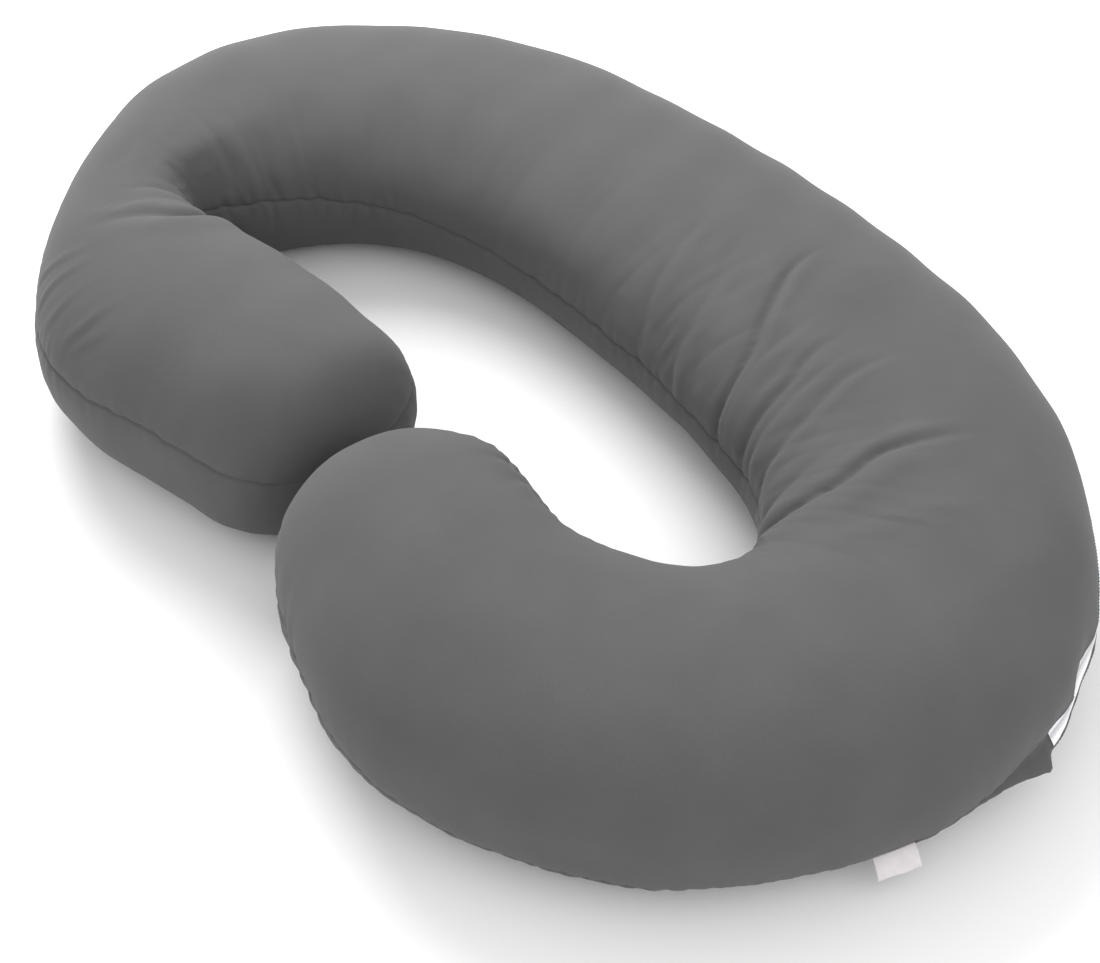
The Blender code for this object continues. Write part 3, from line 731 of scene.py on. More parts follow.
def jersey():
    made, tree, shader = new_material("grey_cotton_jersey")
    uv = add_node(tree, "ShaderNodeUVMap", {"uv_map": "panel"}).outputs["UV"]
    spread = add_node(tree, "ShaderNodeTexNoise", {},
                      {"Vector": uv, "Scale": STRAYS_PER_METRE, "Detail": 3.0}).outputs["Color"]
    stray = add_node(tree, "ShaderNodeVectorMath", {"operation": "SCALE"},
                     {0: spread, "Scale": STITCH_STRAY}).outputs[0]
    moved = add_node(tree, "ShaderNodeVectorMath", {"operation": "ADD"}, {0: uv, 1: stray}).outputs[0]
    parts = add_node(tree, "ShaderNodeSeparateXYZ", {}, {0: moved})
    wale = add_node(tree, "ShaderNodeMath", {"operation": "MULTIPLY"},
                    {0: parts.outputs[0], 1: 1.0 / STITCH_WIDE}).outputs[0]
    course = add_node(tree, "ShaderNodeMath", {"operation": "MULTIPLY"},
                      {0: parts.outputs[1], 1: 1.0 / STITCH_LONG}).outputs[0]
    place = add_node(tree, "ShaderNodeMath", {"operation": "FRACT"}, {0: wale}).outputs[0]
    shifted = add_node(tree, "ShaderNodeMath", {"operation": "SUBTRACT"}, {0: place, 1: 0.5}).outputs[0]
    slope = add_node(tree, "ShaderNodeMath", {"operation": "ABSOLUTE"}, {0: shifted}).outputs[0]
    chevron = add_node(tree, "ShaderNodeMath", {"operation": "ADD"}, {0: course, 1: slope}).outputs[0]
    turned = add_node(tree, "ShaderNodeMath", {"operation": "MULTIPLY"},
                      {0: chevron, 1: 2.0 * math.pi}).outputs[0]
    loop = add_node(tree, "ShaderNodeMath", {"operation": "SINE"}, {0: turned}).outputs[0]
    legs = add_node(tree, "ShaderNodeMath", {"operation": "MULTIPLY"},
                    {0: slope, 1: 4.0 * math.pi}).outputs[0]
    leg_wave = add_node(tree, "ShaderNodeMath", {"operation": "COSINE"}, {0: legs}).outputs[0]
    leg_height = add_node(tree, "ShaderNodeMath", {"operation": "MULTIPLY"},
                          {0: leg_wave, 1: -0.6}).outputs[0]
    stitch = add_node(tree, "ShaderNodeMath", {"operation": "MULTIPLY_ADD"},
                      {0: loop, 1: 0.35, 2: leg_height}).outputs[0]
    fuzz = add_node(tree, "ShaderNodeTexNoise", {},
                    {"Vector": uv, "Scale": FUZZ_PER_METRE, "Detail": 3.0}).outputs[0]
    surface = add_node(tree, "ShaderNodeMath", {"operation": "MULTIPLY_ADD"},
                       {0: fuzz, 1: 0.9, 2: stitch}).outputs[0]
    bump = add_node(tree, "ShaderNodeBump", {},
                    {"Height": surface, "Strength": 0.26, "Distance": STITCH_RELIEF})
    tree.links.new(bump.outputs["Normal"], shader.inputs["Normal"])
    mottle = add_node(tree, "ShaderNodeTexNoise", {},
                      {"Vector": uv, "Scale": MOTTLE_PER_METRE, "Detail": 4.0}).outputs[0]
    stretched = add_node(tree, "ShaderNodeMapping", {}, {"Vector": uv, "Scale": FIBRE_PER_METRE}).outputs[0]
    fibre = add_node(tree, "ShaderNodeTexNoise", {},
                     {"Vector": stretched, "Scale": 1.0, "Detail": 2.0}).outputs[0]
    blend = add_node(tree, "ShaderNodeMath", {"operation": "MULTIPLY_ADD"},
                     {0: fibre, 1: 0.4, 2: mottle}).outputs[0]
    ramp = add_node(tree, "ShaderNodeValToRGB", {}, {"Fac": blend})
    ramp.color_ramp.elements[0].position = 0.35
    ramp.color_ramp.elements[0].color = linear("#505051")
    ramp.color_ramp.elements[1].position = 1.0
    ramp.color_ramp.elements[1].color = linear("#565657")
    tree.links.new(ramp.outputs["Color"], shader.inputs["Base Color"])
    shader.inputs["Roughness"].default_value = 0.88
    shader.inputs["Specular IOR Level"].default_value = 0.25
    shader.inputs["Sheen Weight"].default_value = 0.12
    shader.inputs["Sheen Roughness"].default_value = 0.45
    shader.inputs["Sheen Tint"].default_value = linear("#c8c8ca")
    return made


def grid_mesh(name, points, panels):
    """Quads between the rings, a fan on each tip, and the flat panels as the UV map."""
    rings, columns = points.shape[:2]
    tips = np.array([points[0].mean(axis=0), points[-1].mean(axis=0)])
    vertices = np.concatenate([points.reshape(-1, 3), tips])
    ring = np.arange(rings - 1)[:, None] * columns
    column = np.arange(columns)[None, :]
    beside = (column + 1) % columns
    following = ring + columns
    quads = np.stack([ring + column, following + column, following + beside, ring + beside], axis=2)
    quads = quads.reshape(-1, 4)
    faces = quads.tolist()
    head, leg = rings * columns, rings * columns + 1
    last = (rings - 1) * columns
    for place in range(columns):
        after = (place + 1) % columns
        faces.append((place, after, head))
        faces.append((last + after, last + place, leg))
    mesh = bpy.data.meshes.new(name)
    mesh.from_pydata(vertices.tolist(), [], faces)
    mesh.shade_smooth()
    flat = np.zeros((len(mesh.loops), 2))
    corners = np.zeros(len(mesh.loops), int)
    mesh.loops.foreach_get("vertex_index", corners)
    top = np.tile(np.arange(columns) < INNER_SEAM, rings - 1)
    body = len(quads) * 4
    on_top = np.repeat(top, 4)
    each = panels.transpose(0, 2, 1, 3).reshape(-1, 2, 2)
    flat[:body] = np.where(on_top[:, None], each[corners[:body], 0], each[corners[:body], 1])
    rest = np.minimum(corners[body:], len(each) - 1)
    flat[body:] = each[rest, 0]
    layer = mesh.uv_layers.new(name="panel")
    layer.data.foreach_set("uv", flat.astype(np.float32).ravel())
    return mesh


def keep(name, mesh, finish):
    """Puts a mesh in the scene as a piece that rides on the pillow."""
    mesh.materials.append(finish)
    made = bpy.data.objects.new(name, mesh)
    bpy.context.scene.collection.objects.link(made)
    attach(made, "root")
    return made


pillow_cover = keep("pillow_cover", grid_mesh("pillow_cover", shape, cover.panel), jersey())
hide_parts("pillow")


# The zip. White woven polyester tapes lie in the opening under the cloth's turned edges, and a white
# nylon coil is sewn along them. It runs round the foot bend in the place of the outer seam.
TAPE_OVERLAP = 1.32
TAPE_LIFT = 0.0006
TAPE_THICKNESS = 0.0005
SMOOTH_REACH = 5
ZIP_ROW = 4
TOOTH_PITCH = 0.00075
TOOTH_RADIUS = 0.00033
TOOTH_PATH = ((2.50, 0.10), (2.42, 0.85), (1.90, 1.35), (1.10, 1.52), (0.30, 1.50), (-0.45, 1.30),
              (-0.62, 0.80))
TOOTH_SIDES = 5
COIL_MARGIN = 0.001
WARP_PITCH = 0.0009
WEFT_PITCH = 0.0007


def face_outward(mesh):
    """Turns every face of a closed mesh outward."""
    shaped = bmesh.new()
    shaped.from_mesh(mesh)
    bmesh.ops.recalc_face_normals(shaped, faces=shaped.faces)
    shaped.to_mesh(mesh)
    shaped.free()


def tube_mesh(name, rings, smooth=True):
    """A closed tube through equal rings of points, with its length and girth in metres as the UV map."""
    rings = np.asarray(rings, float)
    rows, columns = rings.shape[:2]
    along = run_length(rings.mean(axis=1))
    around = run_length(np.concatenate([rings[0], rings[0][:1]]))
    faces = []
    flat = []
    for row in range(rows - 1):
        for column in range(columns):
            beside = (column + 1) % columns
            first = row * columns
            second = first + columns
            faces.append((first + column, second + column, second + beside, first + beside))
            left, wide = around[column], around[column + 1]
            flat += [(left, along[row]), (left, along[row + 1]), (wide, along[row + 1]), (wide, along[row])]
    faces.append(tuple(range(columns)))
    faces.append(tuple(reversed(range((rows - 1) * columns, rows * columns))))
    flat += [(place, along[0]) for place in around[:-1]]
    flat += [(place, along[-1]) for place in around[:-1]]
    mesh = bpy.data.meshes.new(name)
    mesh.from_pydata(rings.reshape(-1, 3).tolist(), [], faces)
    layer = mesh.uv_layers.new(name="panel")
    layer.data.foreach_set("uv", np.array(flat, np.float32).ravel())
    face_outward(mesh)
    if smooth:
        mesh.shade_smooth()
    return mesh


def softened(rows, reach):
    """A row of points smoothed along the pillow."""
    longer = drawn_out(rows, reach)
    return np.stack([np.convolve(longer[:, axis], bell(reach), "valid") for axis in range(3)], axis=1)


def sampled(places, run, rows):
    """Points at the given run lengths along a row of points."""
    return np.stack([np.interp(places, run, rows[:, axis]) for axis in range(3)], axis=-1)


def unit(vectors):
    return vectors / np.linalg.norm(vectors, axis=-1)[..., None]


in_zip = (cover.numbers > ZIP_CLOSED_END) & (cover.numbers < ZIP_OPEN_END)
upper_row = softened(shape[in_zip, ZIP_ROW], SMOOTH_REACH)
lower_row = softened(shape[in_zip, -ZIP_ROW], SMOOTH_REACH)
zip_across = unit(upper_row - lower_row)
zip_along = unit(np.gradient(0.5 * (upper_row + lower_row), axis=0))
zip_out = unit(np.cross(zip_along, zip_across))
zip_out *= np.sign(np.sum(zip_out * direction[in_zip, OUTER_SEAM], axis=1))[:, None]
zip_half = 0.5 * np.linalg.norm(upper_row - lower_row, axis=1)
tape_middle = 0.5 * (upper_row + lower_row) + TAPE_LIFT * zip_out


def woven_polyester(name, colour):
    """Woven polyester ribbon: fine crossing ribs, matt, with a slight gloss on each thread."""
    made, tree, shader = new_material(name)
    uv = add_node(tree, "ShaderNodeUVMap", {"uv_map": "panel"}).outputs["UV"]
    parts = add_node(tree, "ShaderNodeSeparateXYZ", {}, {0: uv})
    warp = add_node(tree, "ShaderNodeMath", {"operation": "MULTIPLY"},
                    {0: parts.outputs[0], 1: math.pi / WARP_PITCH}).outputs[0]
    weft = add_node(tree, "ShaderNodeMath", {"operation": "MULTIPLY"},
                    {0: parts.outputs[1], 1: math.pi / WEFT_PITCH}).outputs[0]
    twill = add_node(tree, "ShaderNodeMath", {"operation": "ADD"}, {0: warp, 1: weft}).outputs[0]
    rib = add_node(tree, "ShaderNodeMath", {"operation": "SINE"}, {0: twill}).outputs[0]
    thread = add_node(tree, "ShaderNodeMath", {"operation": "SINE"}, {0: warp}).outputs[0]
    height = add_node(tree, "ShaderNodeMath", {"operation": "MULTIPLY_ADD"},
                      {0: thread, 1: 0.5, 2: rib}).outputs[0]
    bump = add_node(tree, "ShaderNodeBump", {}, {"Height": height, "Strength": 0.5, "Distance": 0.0001})
    tree.links.new(bump.outputs["Normal"], shader.inputs["Normal"])
    dust = add_node(tree, "ShaderNodeTexNoise", {},
                    {"Vector": uv, "Scale": 120.0, "Detail": 3.0}).outputs[0]
    ramp = add_node(tree, "ShaderNodeValToRGB", {}, {"Fac": dust})
    ramp.color_ramp.elements[0].position = 0.3
    ramp.color_ramp.elements[0].color = tuple(0.93 * part for part in linear(colour)[:3]) + (1.0,)
    ramp.color_ramp.elements[1].position = 0.7
    ramp.color_ramp.elements[1].color = linear(colour)
    tree.links.new(ramp.outputs["Color"], shader.inputs["Base Color"])
    shader.inputs["Roughness"].default_value = 0.72
    shader.inputs["Sheen Weight"].default_value = 0.1
    return made


def tape_rings():
    """Flat sections of the tape, wider than the opening so that its edges lie under the cloth."""
    steps = np.linspace(-1.0, 1.0, 9) * TAPE_OVERLAP
    low = [tape_middle + zip_across * (zip_half * step)[:, None] for step in steps]
    high = [row + zip_out * TAPE_THICKNESS for row in reversed(low)]
    return np.stack(low + high, axis=1)


tape_mesh = tube_mesh("zip_tape_woven", tape_rings(), smooth=False)
tape = keep("zip_tape_woven", tape_mesh, woven_polyester("white_woven_polyester", "#ececee"))
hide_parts("zip_tape")


def nylon():
    """Drawn nylon monofilament: smooth, a little translucent, with a soft gloss."""
    made, tree, shader = new_material("white_nylon_monofilament")
    place = add_node(tree, "ShaderNodeTexCoord").outputs["Object"]
    tone = add_node(tree, "ShaderNodeTexNoise", {}, {"Vector": place, "Scale": 300.0}).outputs[0]
    ramp = add_node(tree, "ShaderNodeValToRGB", {}, {"Fac": tone})
    ramp.color_ramp.elements[0].color = linear("#e2e2e4")
    ramp.color_ramp.elements[1].color = linear("#f4f4f5")
    tree.links.new(ramp.outputs["Color"], shader.inputs["Base Color"])
    shader.inputs["Roughness"].default_value = 0.35
    shader.inputs["IOR"].default_value = 1.53
    return made


def tooth_mesh():
    """Every loop of the coil, from the left and the right edge in turn, hooked over the middle."""
    middle = tape_middle + zip_out * TAPE_THICKNESS
    run = run_length(middle)
    places = np.arange(COIL_MARGIN, run[-1] - COIL_MARGIN, TOOTH_PITCH)
    centre = sampled(places, run, middle)
    across = unit(sampled(places, run, zip_across))
    out = unit(sampled(places, run, zip_out))
    ahead = unit(np.cross(across, out))
    hand = np.where(np.arange(len(places)) % 2 == 0, 1.0, -1.0)[:, None]
    path = np.array(TOOTH_PATH) * 0.001
    heading = unit(np.gradient(path, axis=0))
    angles = np.arange(TOOTH_SIDES) * (2.0 * math.pi / TOOTH_SIDES)
    points = []
    for (side, rise), (tangent_side, tangent_rise) in zip(path, heading):
        core = centre + across * hand * side + out * rise
        sideways = across * hand * tangent_rise - out * tangent_side
        for angle in angles:
            points.append(core + TOOTH_RADIUS * (math.cos(angle) * sideways + math.sin(angle) * ahead))
    points = np.stack(points, axis=1)
    each = points.shape[1]
    faces = []
    for tooth in range(len(places)):
        for step in range(len(path) - 1):
            for side in range(TOOTH_SIDES):
                beside = (side + 1) % TOOTH_SIDES
                first = tooth * each + step * TOOTH_SIDES
                second = first + TOOTH_SIDES
                faces.append((first + side, second + side, second + beside, first + beside))
        last = tooth * each + (len(path) - 1) * TOOTH_SIDES
        faces.append(tuple(range(last, last + TOOTH_SIDES)))
    mesh = bpy.data.meshes.new("zip_coil_teeth")
    mesh.from_pydata(points.reshape(-1, 3).tolist(), [], faces)
    face_outward(mesh)
    mesh.shade_smooth()
    return mesh


coil = keep("zip_coil_teeth", tooth_mesh(), nylon())
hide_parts("zip_coil")


# The topstitching. Grey polyester thread holds the cloth's turned edges to the tape, one row of
# 3 mm stitches along each side of the zip.
STITCH_GAP = 0.0043
STITCH_REACH = 0.0031
THREAD_RADIUS = 0.00032
STITCH_COLUMN = 7
STITCH_MARGIN = 0.003
STITCH_TAPER = 0.8
STITCH_RISE = 0.00022
STITCH_SINK = 0.0009
THREAD_SIDES = 6


def thread_finish():
    """Twisted polyester sewing thread: two plies that catch the light in turn."""
    made, tree, shader = new_material("grey_polyester_thread")
    place = add_node(tree, "ShaderNodeTexCoord").outputs["Object"]
    twist = add_node(tree, "ShaderNodeTexWave", {"bands_direction": "DIAGONAL"},
                     {"Vector": place, "Scale": 420.0, "Distortion": 1.0}).outputs["Fac"]
    ramp = add_node(tree, "ShaderNodeValToRGB", {}, {"Fac": twist})
    ramp.color_ramp.elements[0].color = linear("#565657")
    ramp.color_ramp.elements[1].color = linear("#707071")
    tree.links.new(ramp.outputs["Color"], shader.inputs["Base Color"])
    shader.inputs["Roughness"].default_value = 0.55
    shader.inputs["Sheen Weight"].default_value = 0.1
    return made


def stitch_rows(rows):
    """Short arched stitches along rows of points, each sunk at its ends."""
    points = []
    faces = []
    steps = np.linspace(-0.5, 0.5, 5)
    for line, out in rows:
        run = run_length(line)
        for start in np.arange(STITCH_MARGIN, run[-1] - STITCH_MARGIN, STITCH_GAP):
            first = len(points)
            spots = start + steps * STITCH_REACH
            core = sampled(spots, run, line)
            normal = unit(sampled(spots, run, out))
            ahead = unit(np.gradient(core, axis=0))
            beside = unit(np.cross(ahead, normal))
            for place, step in enumerate(steps):
                near_end = (2.0 * step) ** 4
                thick = THREAD_RADIUS * (1.0 - STITCH_TAPER * near_end)
                middle = core[place] + normal[place] * (STITCH_RISE - STITCH_SINK * near_end)
                for side in range(THREAD_SIDES):
                    angle = 2.0 * math.pi * side / THREAD_SIDES
                    spoke = math.cos(angle) * beside[place] + math.sin(angle) * normal[place]
                    points.append(middle + thick * spoke)
            for step in range(len(steps) - 1):
                for side in range(THREAD_SIDES):
                    following = (side + 1) % THREAD_SIDES
                    low = first + step * THREAD_SIDES
                    high = low + THREAD_SIDES
                    faces.append((low + side, low + following, high + following, high + side))
    return points, faces


def thread_mesh(name, rows):
    points, faces = stitch_rows(rows)
    mesh = bpy.data.meshes.new(name)
    mesh.from_pydata([tuple(point) for point in points], [], faces)
    face_outward(mesh)
    mesh.shade_smooth()
    return mesh


final_direction = outward(shape)
lip_rows = [(shape[in_zip, STITCH_COLUMN], final_direction[in_zip, STITCH_COLUMN])]
lip_rows.append((shape[in_zip, -STITCH_COLUMN], final_direction[in_zip, -STITCH_COLUMN]))
keep("zip_topstitch", thread_mesh("zip_topstitch", lip_rows), thread_finish())


# The slider and its pull. Both are cast zinc alloy, tumbled and nickel-plated; the slider grips the
# coil near the closed end, and the pull lies flat along the tape.
SLIDER_OUTLINE = ((-0.0060, 0.0030), (-0.0045, 0.0043), (0.0000, 0.0046), (0.0040, 0.0040),
                  (0.0060, 0.0028))
SLIDER_PLATE = 0.0011
SLIDER_HEIGHT = 0.0040
SLIDER_RAISED = 0.0019
PLATE_EDGE = 0.0003
POST_LONG = 0.30
POST_WIDE = 0.22
POST_SHORT = 0.0008
POST_EDGE = 0.0002
BOW_LONG = 0.72
BOW_HALF_WIDTH = 0.0011
BOW_DEPTH = 0.0012
FLANGE_LONG = 0.9
FLANGE_HALF_WIDTH = 0.0004
FLANGE_DEPTH = 0.0018
FLANGE_APART = 0.0040
FLANGE_EDGE = 0.0001
PULL_LENGTH = 0.0220
PULL_WIDTH = 0.0060
PULL_THICKNESS = 0.0014
PULL_EDGE = 0.0003
PULL_ROUND = 0.7
PULL_TAPER = 0.16
PULL_SIDES = 48
SLOT_LONG = 0.30
SLOT_WIDE = 0.20
SLOT_AHEAD = 0.0010
PULL_SUNK = 0.0030
PULL_AHEAD = 0.0085


def nickel():
    """Tumbled nickel plate: bright, with faint directionless scuffs that soften the reflection."""
    made, tree, shader = new_material("tumbled_nickel_plate")
    place = add_node(tree, "ShaderNodeTexCoord").outputs["Object"]
    scuff = add_node(tree, "ShaderNodeTexNoise", {},
                     {"Vector": place, "Scale": 900.0, "Detail": 4.0}).outputs[0]
    rough = add_node(tree, "ShaderNodeMapRange", {},
                     {"Value": scuff, "To Min": 0.24, "To Max": 0.42}).outputs[0]
    tree.links.new(rough, shader.inputs["Roughness"])
    bump = add_node(tree, "ShaderNodeBump", {}, {"Height": scuff, "Strength": 0.2, "Distance": 0.00005})
    tree.links.new(bump.outputs["Normal"], shader.inputs["Normal"])
    shader.inputs["Base Color"].default_value = linear("#c9c8c4")
    shader.inputs["Metallic"].default_value = 1.0
    return made


def seat(low, high):
    """The zip's ring nearest to a CAD box, and its directions along, across and out of the zip."""
    centre = 0.5 * (np.array(low) + np.array(high))
    nearest = int(np.argmin(np.linalg.norm(tape_middle - centre, axis=1)))
    ahead, across, out = zip_along[nearest], zip_across[nearest], zip_out[nearest]
    return nearest, Matrix((ahead, across, out)).transposed().to_4x4()


def plate(shaped, outline, bottom, top, bevel):
    """A flat plate from half an outline mirrored across the long axis, its edges rounded."""
    loop = [(x, y) for x, y in outline] + [(x, -y) for x, y in reversed(outline)]
    verts = [shaped.verts.new((x, y, bottom)) for x, y in loop]
    face = shaped.faces.new(verts)
    grown = bmesh.ops.extrude_face_region(shaped, geom=[face])["geom"]
    moved = [item for item in grown if isinstance(item, bmesh.types.BMVert)]
    bmesh.ops.translate(shaped, verts=moved, vec=(0.0, 0.0, top - bottom))
    edges = list({edge for vert in verts + moved for edge in vert.link_edges})
    bmesh.ops.bevel(shaped, geom=edges, offset=bevel, segments=2, affect="EDGES", profile=0.6)


def set_down(name, shaped, place):
    """A mesh from finished shapes, moved to its place on the zip."""
    bmesh.ops.recalc_face_normals(shaped, faces=shaped.faces)
    bmesh.ops.transform(shaped, matrix=place, verts=shaped.verts)
    mesh = bpy.data.meshes.new(name)
    shaped.to_mesh(mesh)
    shaped.free()
    mesh.shade_smooth()
    return mesh


def slider_mesh(place):
    """A plate over the coil with two flanges below it, and a post and a bow above it."""
    shaped = bmesh.new()
    plate(shaped, SLIDER_OUTLINE, 0.0, SLIDER_PLATE, PLATE_EDGE)
    post = tuple((x * POST_LONG, y * POST_WIDE) for x, y in SLIDER_OUTLINE)
    plate(shaped, post, SLIDER_PLATE, SLIDER_HEIGHT - POST_SHORT, POST_EDGE)
    bow = tuple((x * BOW_LONG, BOW_HALF_WIDTH) for x, y in SLIDER_OUTLINE)
    plate(shaped, bow, SLIDER_HEIGHT - BOW_DEPTH, SLIDER_HEIGHT, PLATE_EDGE)
    flange = [(x * FLANGE_LONG, FLANGE_HALF_WIDTH) for x, y in SLIDER_OUTLINE]
    for side in (-1.0, 1.0):
        before = len(shaped.verts)
        plate(shaped, flange, -FLANGE_DEPTH, FLANGE_HALF_WIDTH, FLANGE_EDGE)
        shaped.verts.ensure_lookup_table()
        added = shaped.verts[before:]
        bmesh.ops.translate(shaped, verts=added, vec=(0.0, side * FLANGE_APART, 0.0))
    return set_down("zip_slider_cast", shaped, place)


def pull_mesh(place):
    """A flat tongue with rounded ends and one long slot."""
    outer = []
    slot = []
    for step in range(PULL_SIDES):
        angle = 2.0 * math.pi * step / PULL_SIDES
        wide = math.copysign(abs(math.sin(angle)) ** PULL_ROUND, math.sin(angle))
        long = math.copysign(abs(math.cos(angle)) ** PULL_ROUND, math.cos(angle))
        taper = 1.0 - PULL_TAPER * (1.0 - long) * 0.5
        outer.append((0.5 * PULL_LENGTH * long, 0.5 * PULL_WIDTH * wide * taper))
        slot.append((SLOT_LONG * PULL_LENGTH * long + SLOT_AHEAD, SLOT_WIDE * PULL_WIDTH * wide))
    shaped = bmesh.new()
    rings = []
    near_top = PULL_THICKNESS - PULL_EDGE
    levels = ((0.0, -PULL_EDGE), (PULL_EDGE, 0.0), (near_top, 0.0), (PULL_THICKNESS, -PULL_EDGE))
    for height, grow in levels:
        for loop, sign in ((outer, 1.0), (slot, -1.0)):
            ring = []
            for x, y in loop:
                length = math.hypot(x, y)
                scale = 1.0 + sign * grow / length
                ring.append(shaped.verts.new((x * scale, y * scale, height)))
            rings.append(ring)
    order = (rings[0], rings[2], rings[4], rings[6], rings[7], rings[5], rings[3], rings[1], rings[0])
    for ring, following in zip(order, order[1:]):
        for step in range(PULL_SIDES):
            beside = (step + 1) % PULL_SIDES
            shaped.faces.new((ring[step], ring[beside], following[beside], following[step]))
    return set_down("zip_pull_cast", shaped, place)


slider_ring, slider_turn = seat(*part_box("zip_slider"))
coil_top = tape_middle[slider_ring] + zip_out[slider_ring] * (TAPE_THICKNESS + SLIDER_RAISED)
metal_finish = nickel()
slider_place = Matrix.Translation(Vector(coil_top)) @ slider_turn
slider = keep("zip_slider_cast", slider_mesh(slider_place), metal_finish)
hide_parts("zip_slider")
pull_offset = zip_out[slider_ring] * (SLIDER_HEIGHT - PULL_SUNK) + zip_along[slider_ring] * PULL_AHEAD
pull_place = Matrix.Translation(Vector(coil_top + pull_offset)) @ slider_turn
pull = keep("zip_pull_cast", pull_mesh(pull_place), metal_finish)
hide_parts("zip_pull")


# The side label. A white satin ribbon, cut with a hot knife, folded once and caught in the outer
# seam by its two ends. It is plain.
LABEL_AT = 15.62
LABEL_WIDTH = 0.042
LABEL_REACH = 0.017
LABEL_DROOP = (0.008, 0.006)
RIBBON_THICKNESS = 0.00035
RIBBON_GAP = 0.00025
LABEL_ACROSS = 26
LABEL_ALONG = 12
LABEL_IN_SEAM = -0.10
LABEL_TURN = 0.97
LABEL_RIPPLE = 0.0006
SATIN_THREAD = 0.0005


def label_mesh():
    row = cover.points[:, OUTER_SEAM]
    normal = outward(cover.points)[:, OUTER_SEAM]
    run = run_length(row)
    middle = np.interp(LABEL_AT, cover.numbers, run)
    layer = 0.5 * RIBBON_GAP + 0.5 * RIBBON_THICKNESS
    profile = [(reach, layer) for reach in np.linspace(LABEL_IN_SEAM, LABEL_TURN, LABEL_ALONG)]
    profile += [(0.99, 0.7 * layer), (1.0, 0.0), (0.99, -0.7 * layer)]
    profile += [(reach, -layer) for reach in np.linspace(LABEL_TURN, LABEL_IN_SEAM, LABEL_ALONG)]
    profile = np.array(profile)
    tangent = unit(np.gradient(profile * (LABEL_REACH, 1.0), axis=0))
    sections = []
    for place in np.linspace(-0.5, 0.5, LABEL_ACROSS):
        at = middle + LABEL_WIDTH * place
        root = sampled(at, run, row)
        away_from_seam = unit(sampled(at, run, normal))
        droop = LABEL_DROOP[0] + (LABEL_DROOP[1] - LABEL_DROOP[0]) * (place + 0.5)
        ripple = LABEL_RIPPLE * math.sin(9.0 * place)
        outside = []
        inside = []
        for (reach, height), (step_out, step_up) in zip(profile, tangent):
            spot = root + away_from_seam * (LABEL_REACH * reach)
            spot[2] += height - droop * max(reach, 0.0) ** 2 + ripple * max(reach, 0.0)
            side = np.array((0.0, 0.0, step_out)) - away_from_seam * step_up
            outside.append(spot + 0.5 * RIBBON_THICKNESS * side)
            inside.append(spot - 0.5 * RIBBON_THICKNESS * side)
        sections.append(outside + inside[::-1])
    return tube_mesh("label_ribbon", sections, smooth=True)


def satin():
    """Polyester satin ribbon: long floating threads that give a soft gloss across the ribbon."""
    made, tree, shader = new_material("white_polyester_satin")
    uv = add_node(tree, "ShaderNodeUVMap", {"uv_map": "panel"}).outputs["UV"]
    parts = add_node(tree, "ShaderNodeSeparateXYZ", {}, {0: uv})
    thread = add_node(tree, "ShaderNodeMath", {"operation": "MULTIPLY"},
                      {0: parts.outputs[0], 1: 2.0 * math.pi / SATIN_THREAD}).outputs[0]
    rib = add_node(tree, "ShaderNodeMath", {"operation": "SINE"}, {0: thread}).outputs[0]
    bump = add_node(tree, "ShaderNodeBump", {}, {"Height": rib, "Strength": 0.25, "Distance": 0.00006})
    tree.links.new(bump.outputs["Normal"], shader.inputs["Normal"])
    shade = add_node(tree, "ShaderNodeTexNoise", {},
                     {"Vector": uv, "Scale": 90.0, "Detail": 2.0}).outputs[0]
    ramp = add_node(tree, "ShaderNodeValToRGB", {}, {"Fac": shade})
    ramp.color_ramp.elements[0].color = linear("#c9c4c6")
    ramp.color_ramp.elements[1].color = linear("#dcd8da")
    tree.links.new(ramp.outputs["Color"], shader.inputs["Base Color"])
    shader.inputs["Roughness"].default_value = 0.42
    shader.inputs["Anisotropic"].default_value = 0.4
    return made


label = keep("label_ribbon", label_mesh(), satin())
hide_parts("label")


# The camera stands on the foot end's side, high up, with a long lens.
VIEW_TARGET = (0.1095, -0.0754, 0.10)
VIEW_AZIMUTH = 53.0
VIEW_ELEVATION = 48.0
VIEW_DISTANCE = 2.3
VIEW_LENS = 75.27

turn = math.radians(VIEW_AZIMUTH)
lift = math.radians(VIEW_ELEVATION)
back = Vector((math.sin(turn) * math.cos(lift), -math.cos(turn) * math.cos(lift), math.sin(lift)))
camera = bpy.data.objects.new("camera", bpy.data.cameras.new("camera"))
camera.data.sensor_width = 36.0
camera.data.lens = VIEW_LENS
camera.location = Vector(VIEW_TARGET) + back * VIEW_DISTANCE
camera.rotation_mode = "QUATERNION"
camera.rotation_quaternion = (-back).to_track_quat("-Z", "Y")
bpy.context.scene.collection.objects.link(camera)
bpy.context.scene.camera = camera


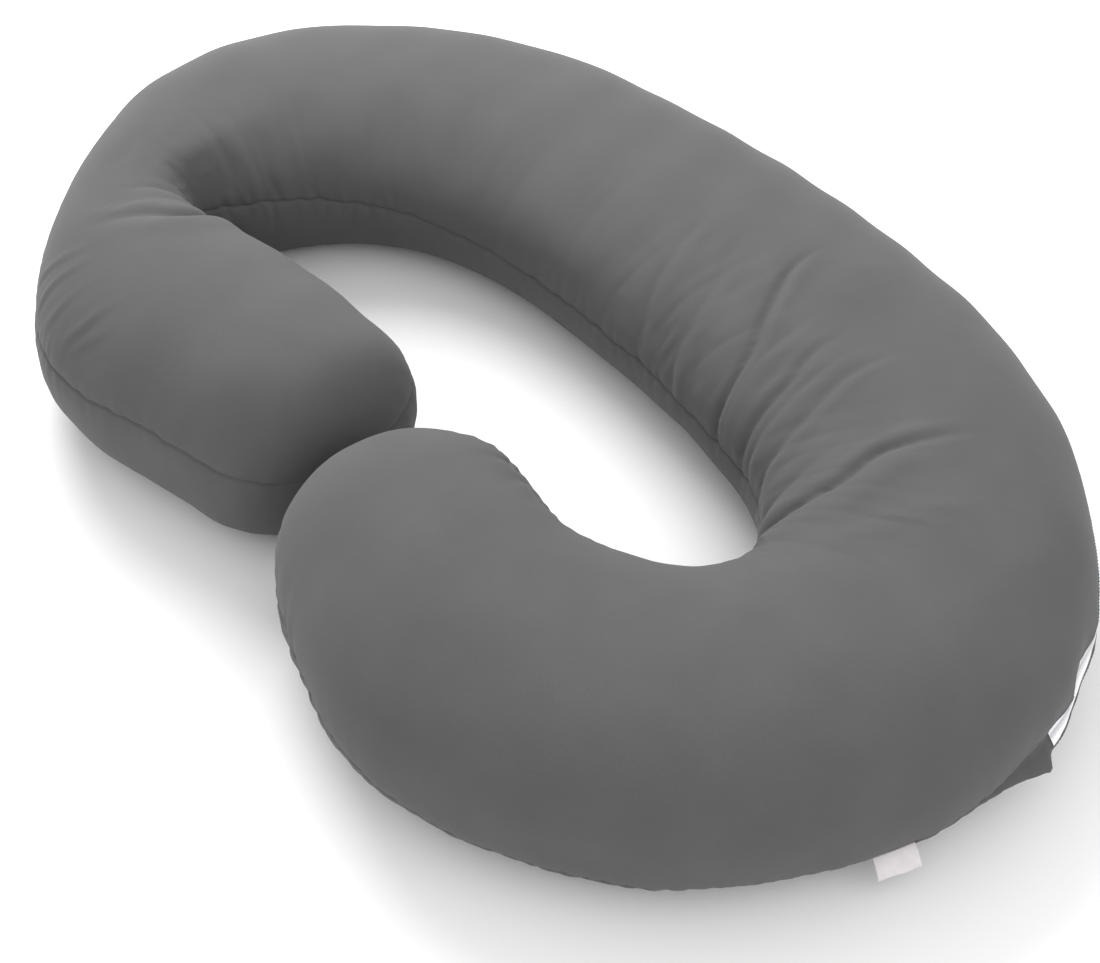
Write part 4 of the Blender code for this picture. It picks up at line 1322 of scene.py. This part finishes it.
# The studio: a pale seamless floor, one broad soft light from behind, a little to the left, a weak
# one from the front on the right, and an even white surround.
FLOOR_HALF = 12.0
LIGHT_SIZE = 2.4
LIGHT_AIM = (0.0, 0.0, 0.1)
KEY_HEIGHT = 2.2
KEY_LEFT = 0.8
KEY_BEHIND = 2.2
KEY_WATTS = 110.0
FILL_HEIGHT = 1.9
FILL_RIGHT = 1.2
FILL_FRONT = 1.6
FILL_WATTS = 12.0
SURROUND = 1.04

floor_mesh = bpy.data.meshes.new("floor")
floor_signs = ((-1.0, -1.0), (1.0, -1.0), (1.0, 1.0), (-1.0, 1.0))
floor_corners = [(x * FLOOR_HALF, y * FLOOR_HALF, 0.0) for x, y in floor_signs]
floor_mesh.from_pydata(floor_corners, [], [(0, 1, 2, 3)])
floor_finish, floor_tree, floor_shader = new_material("white_paper_floor")
floor_shader.inputs["Base Color"].default_value = linear("#f4f4f4")
floor_shader.inputs["Roughness"].default_value = 0.9
floor_mesh.materials.append(floor_finish)
floor = bpy.data.objects.new("floor", floor_mesh)
bpy.context.scene.collection.objects.link(floor)


def soft_light(name, place, power):
    lamp = bpy.data.objects.new(name, bpy.data.lights.new(name, "AREA"))
    lamp.data.shape = "DISK"
    lamp.data.size = LIGHT_SIZE
    lamp.data.energy = power
    lamp.location = place
    lamp.rotation_mode = "QUATERNION"
    lamp.rotation_quaternion = (Vector(LIGHT_AIM) - place).to_track_quat("-Z", "Y")
    bpy.context.scene.collection.objects.link(lamp)


right = Vector((math.cos(turn), math.sin(turn), 0.0))
away_from_view = Vector((-math.sin(turn), math.cos(turn), 0.0))
key_place = Vector((0.0, 0.0, KEY_HEIGHT)) - right * KEY_LEFT + away_from_view * KEY_BEHIND
soft_light("key_light", key_place, KEY_WATTS)
fill_place = Vector((0.0, 0.0, FILL_HEIGHT)) + right * FILL_RIGHT - away_from_view * FILL_FRONT
soft_light("fill_light", fill_place, FILL_WATTS)

world = bpy.data.worlds.new("studio")
world.use_nodes = True
surround = world.node_tree.nodes["Background"]
surround.inputs["Color"].default_value = (1.0, 1.0, 1.0, 1.0)
surround.inputs["Strength"].default_value = SURROUND
bpy.context.scene.world = world
bpy.context.scene.view_settings.view_transform = "Standard"
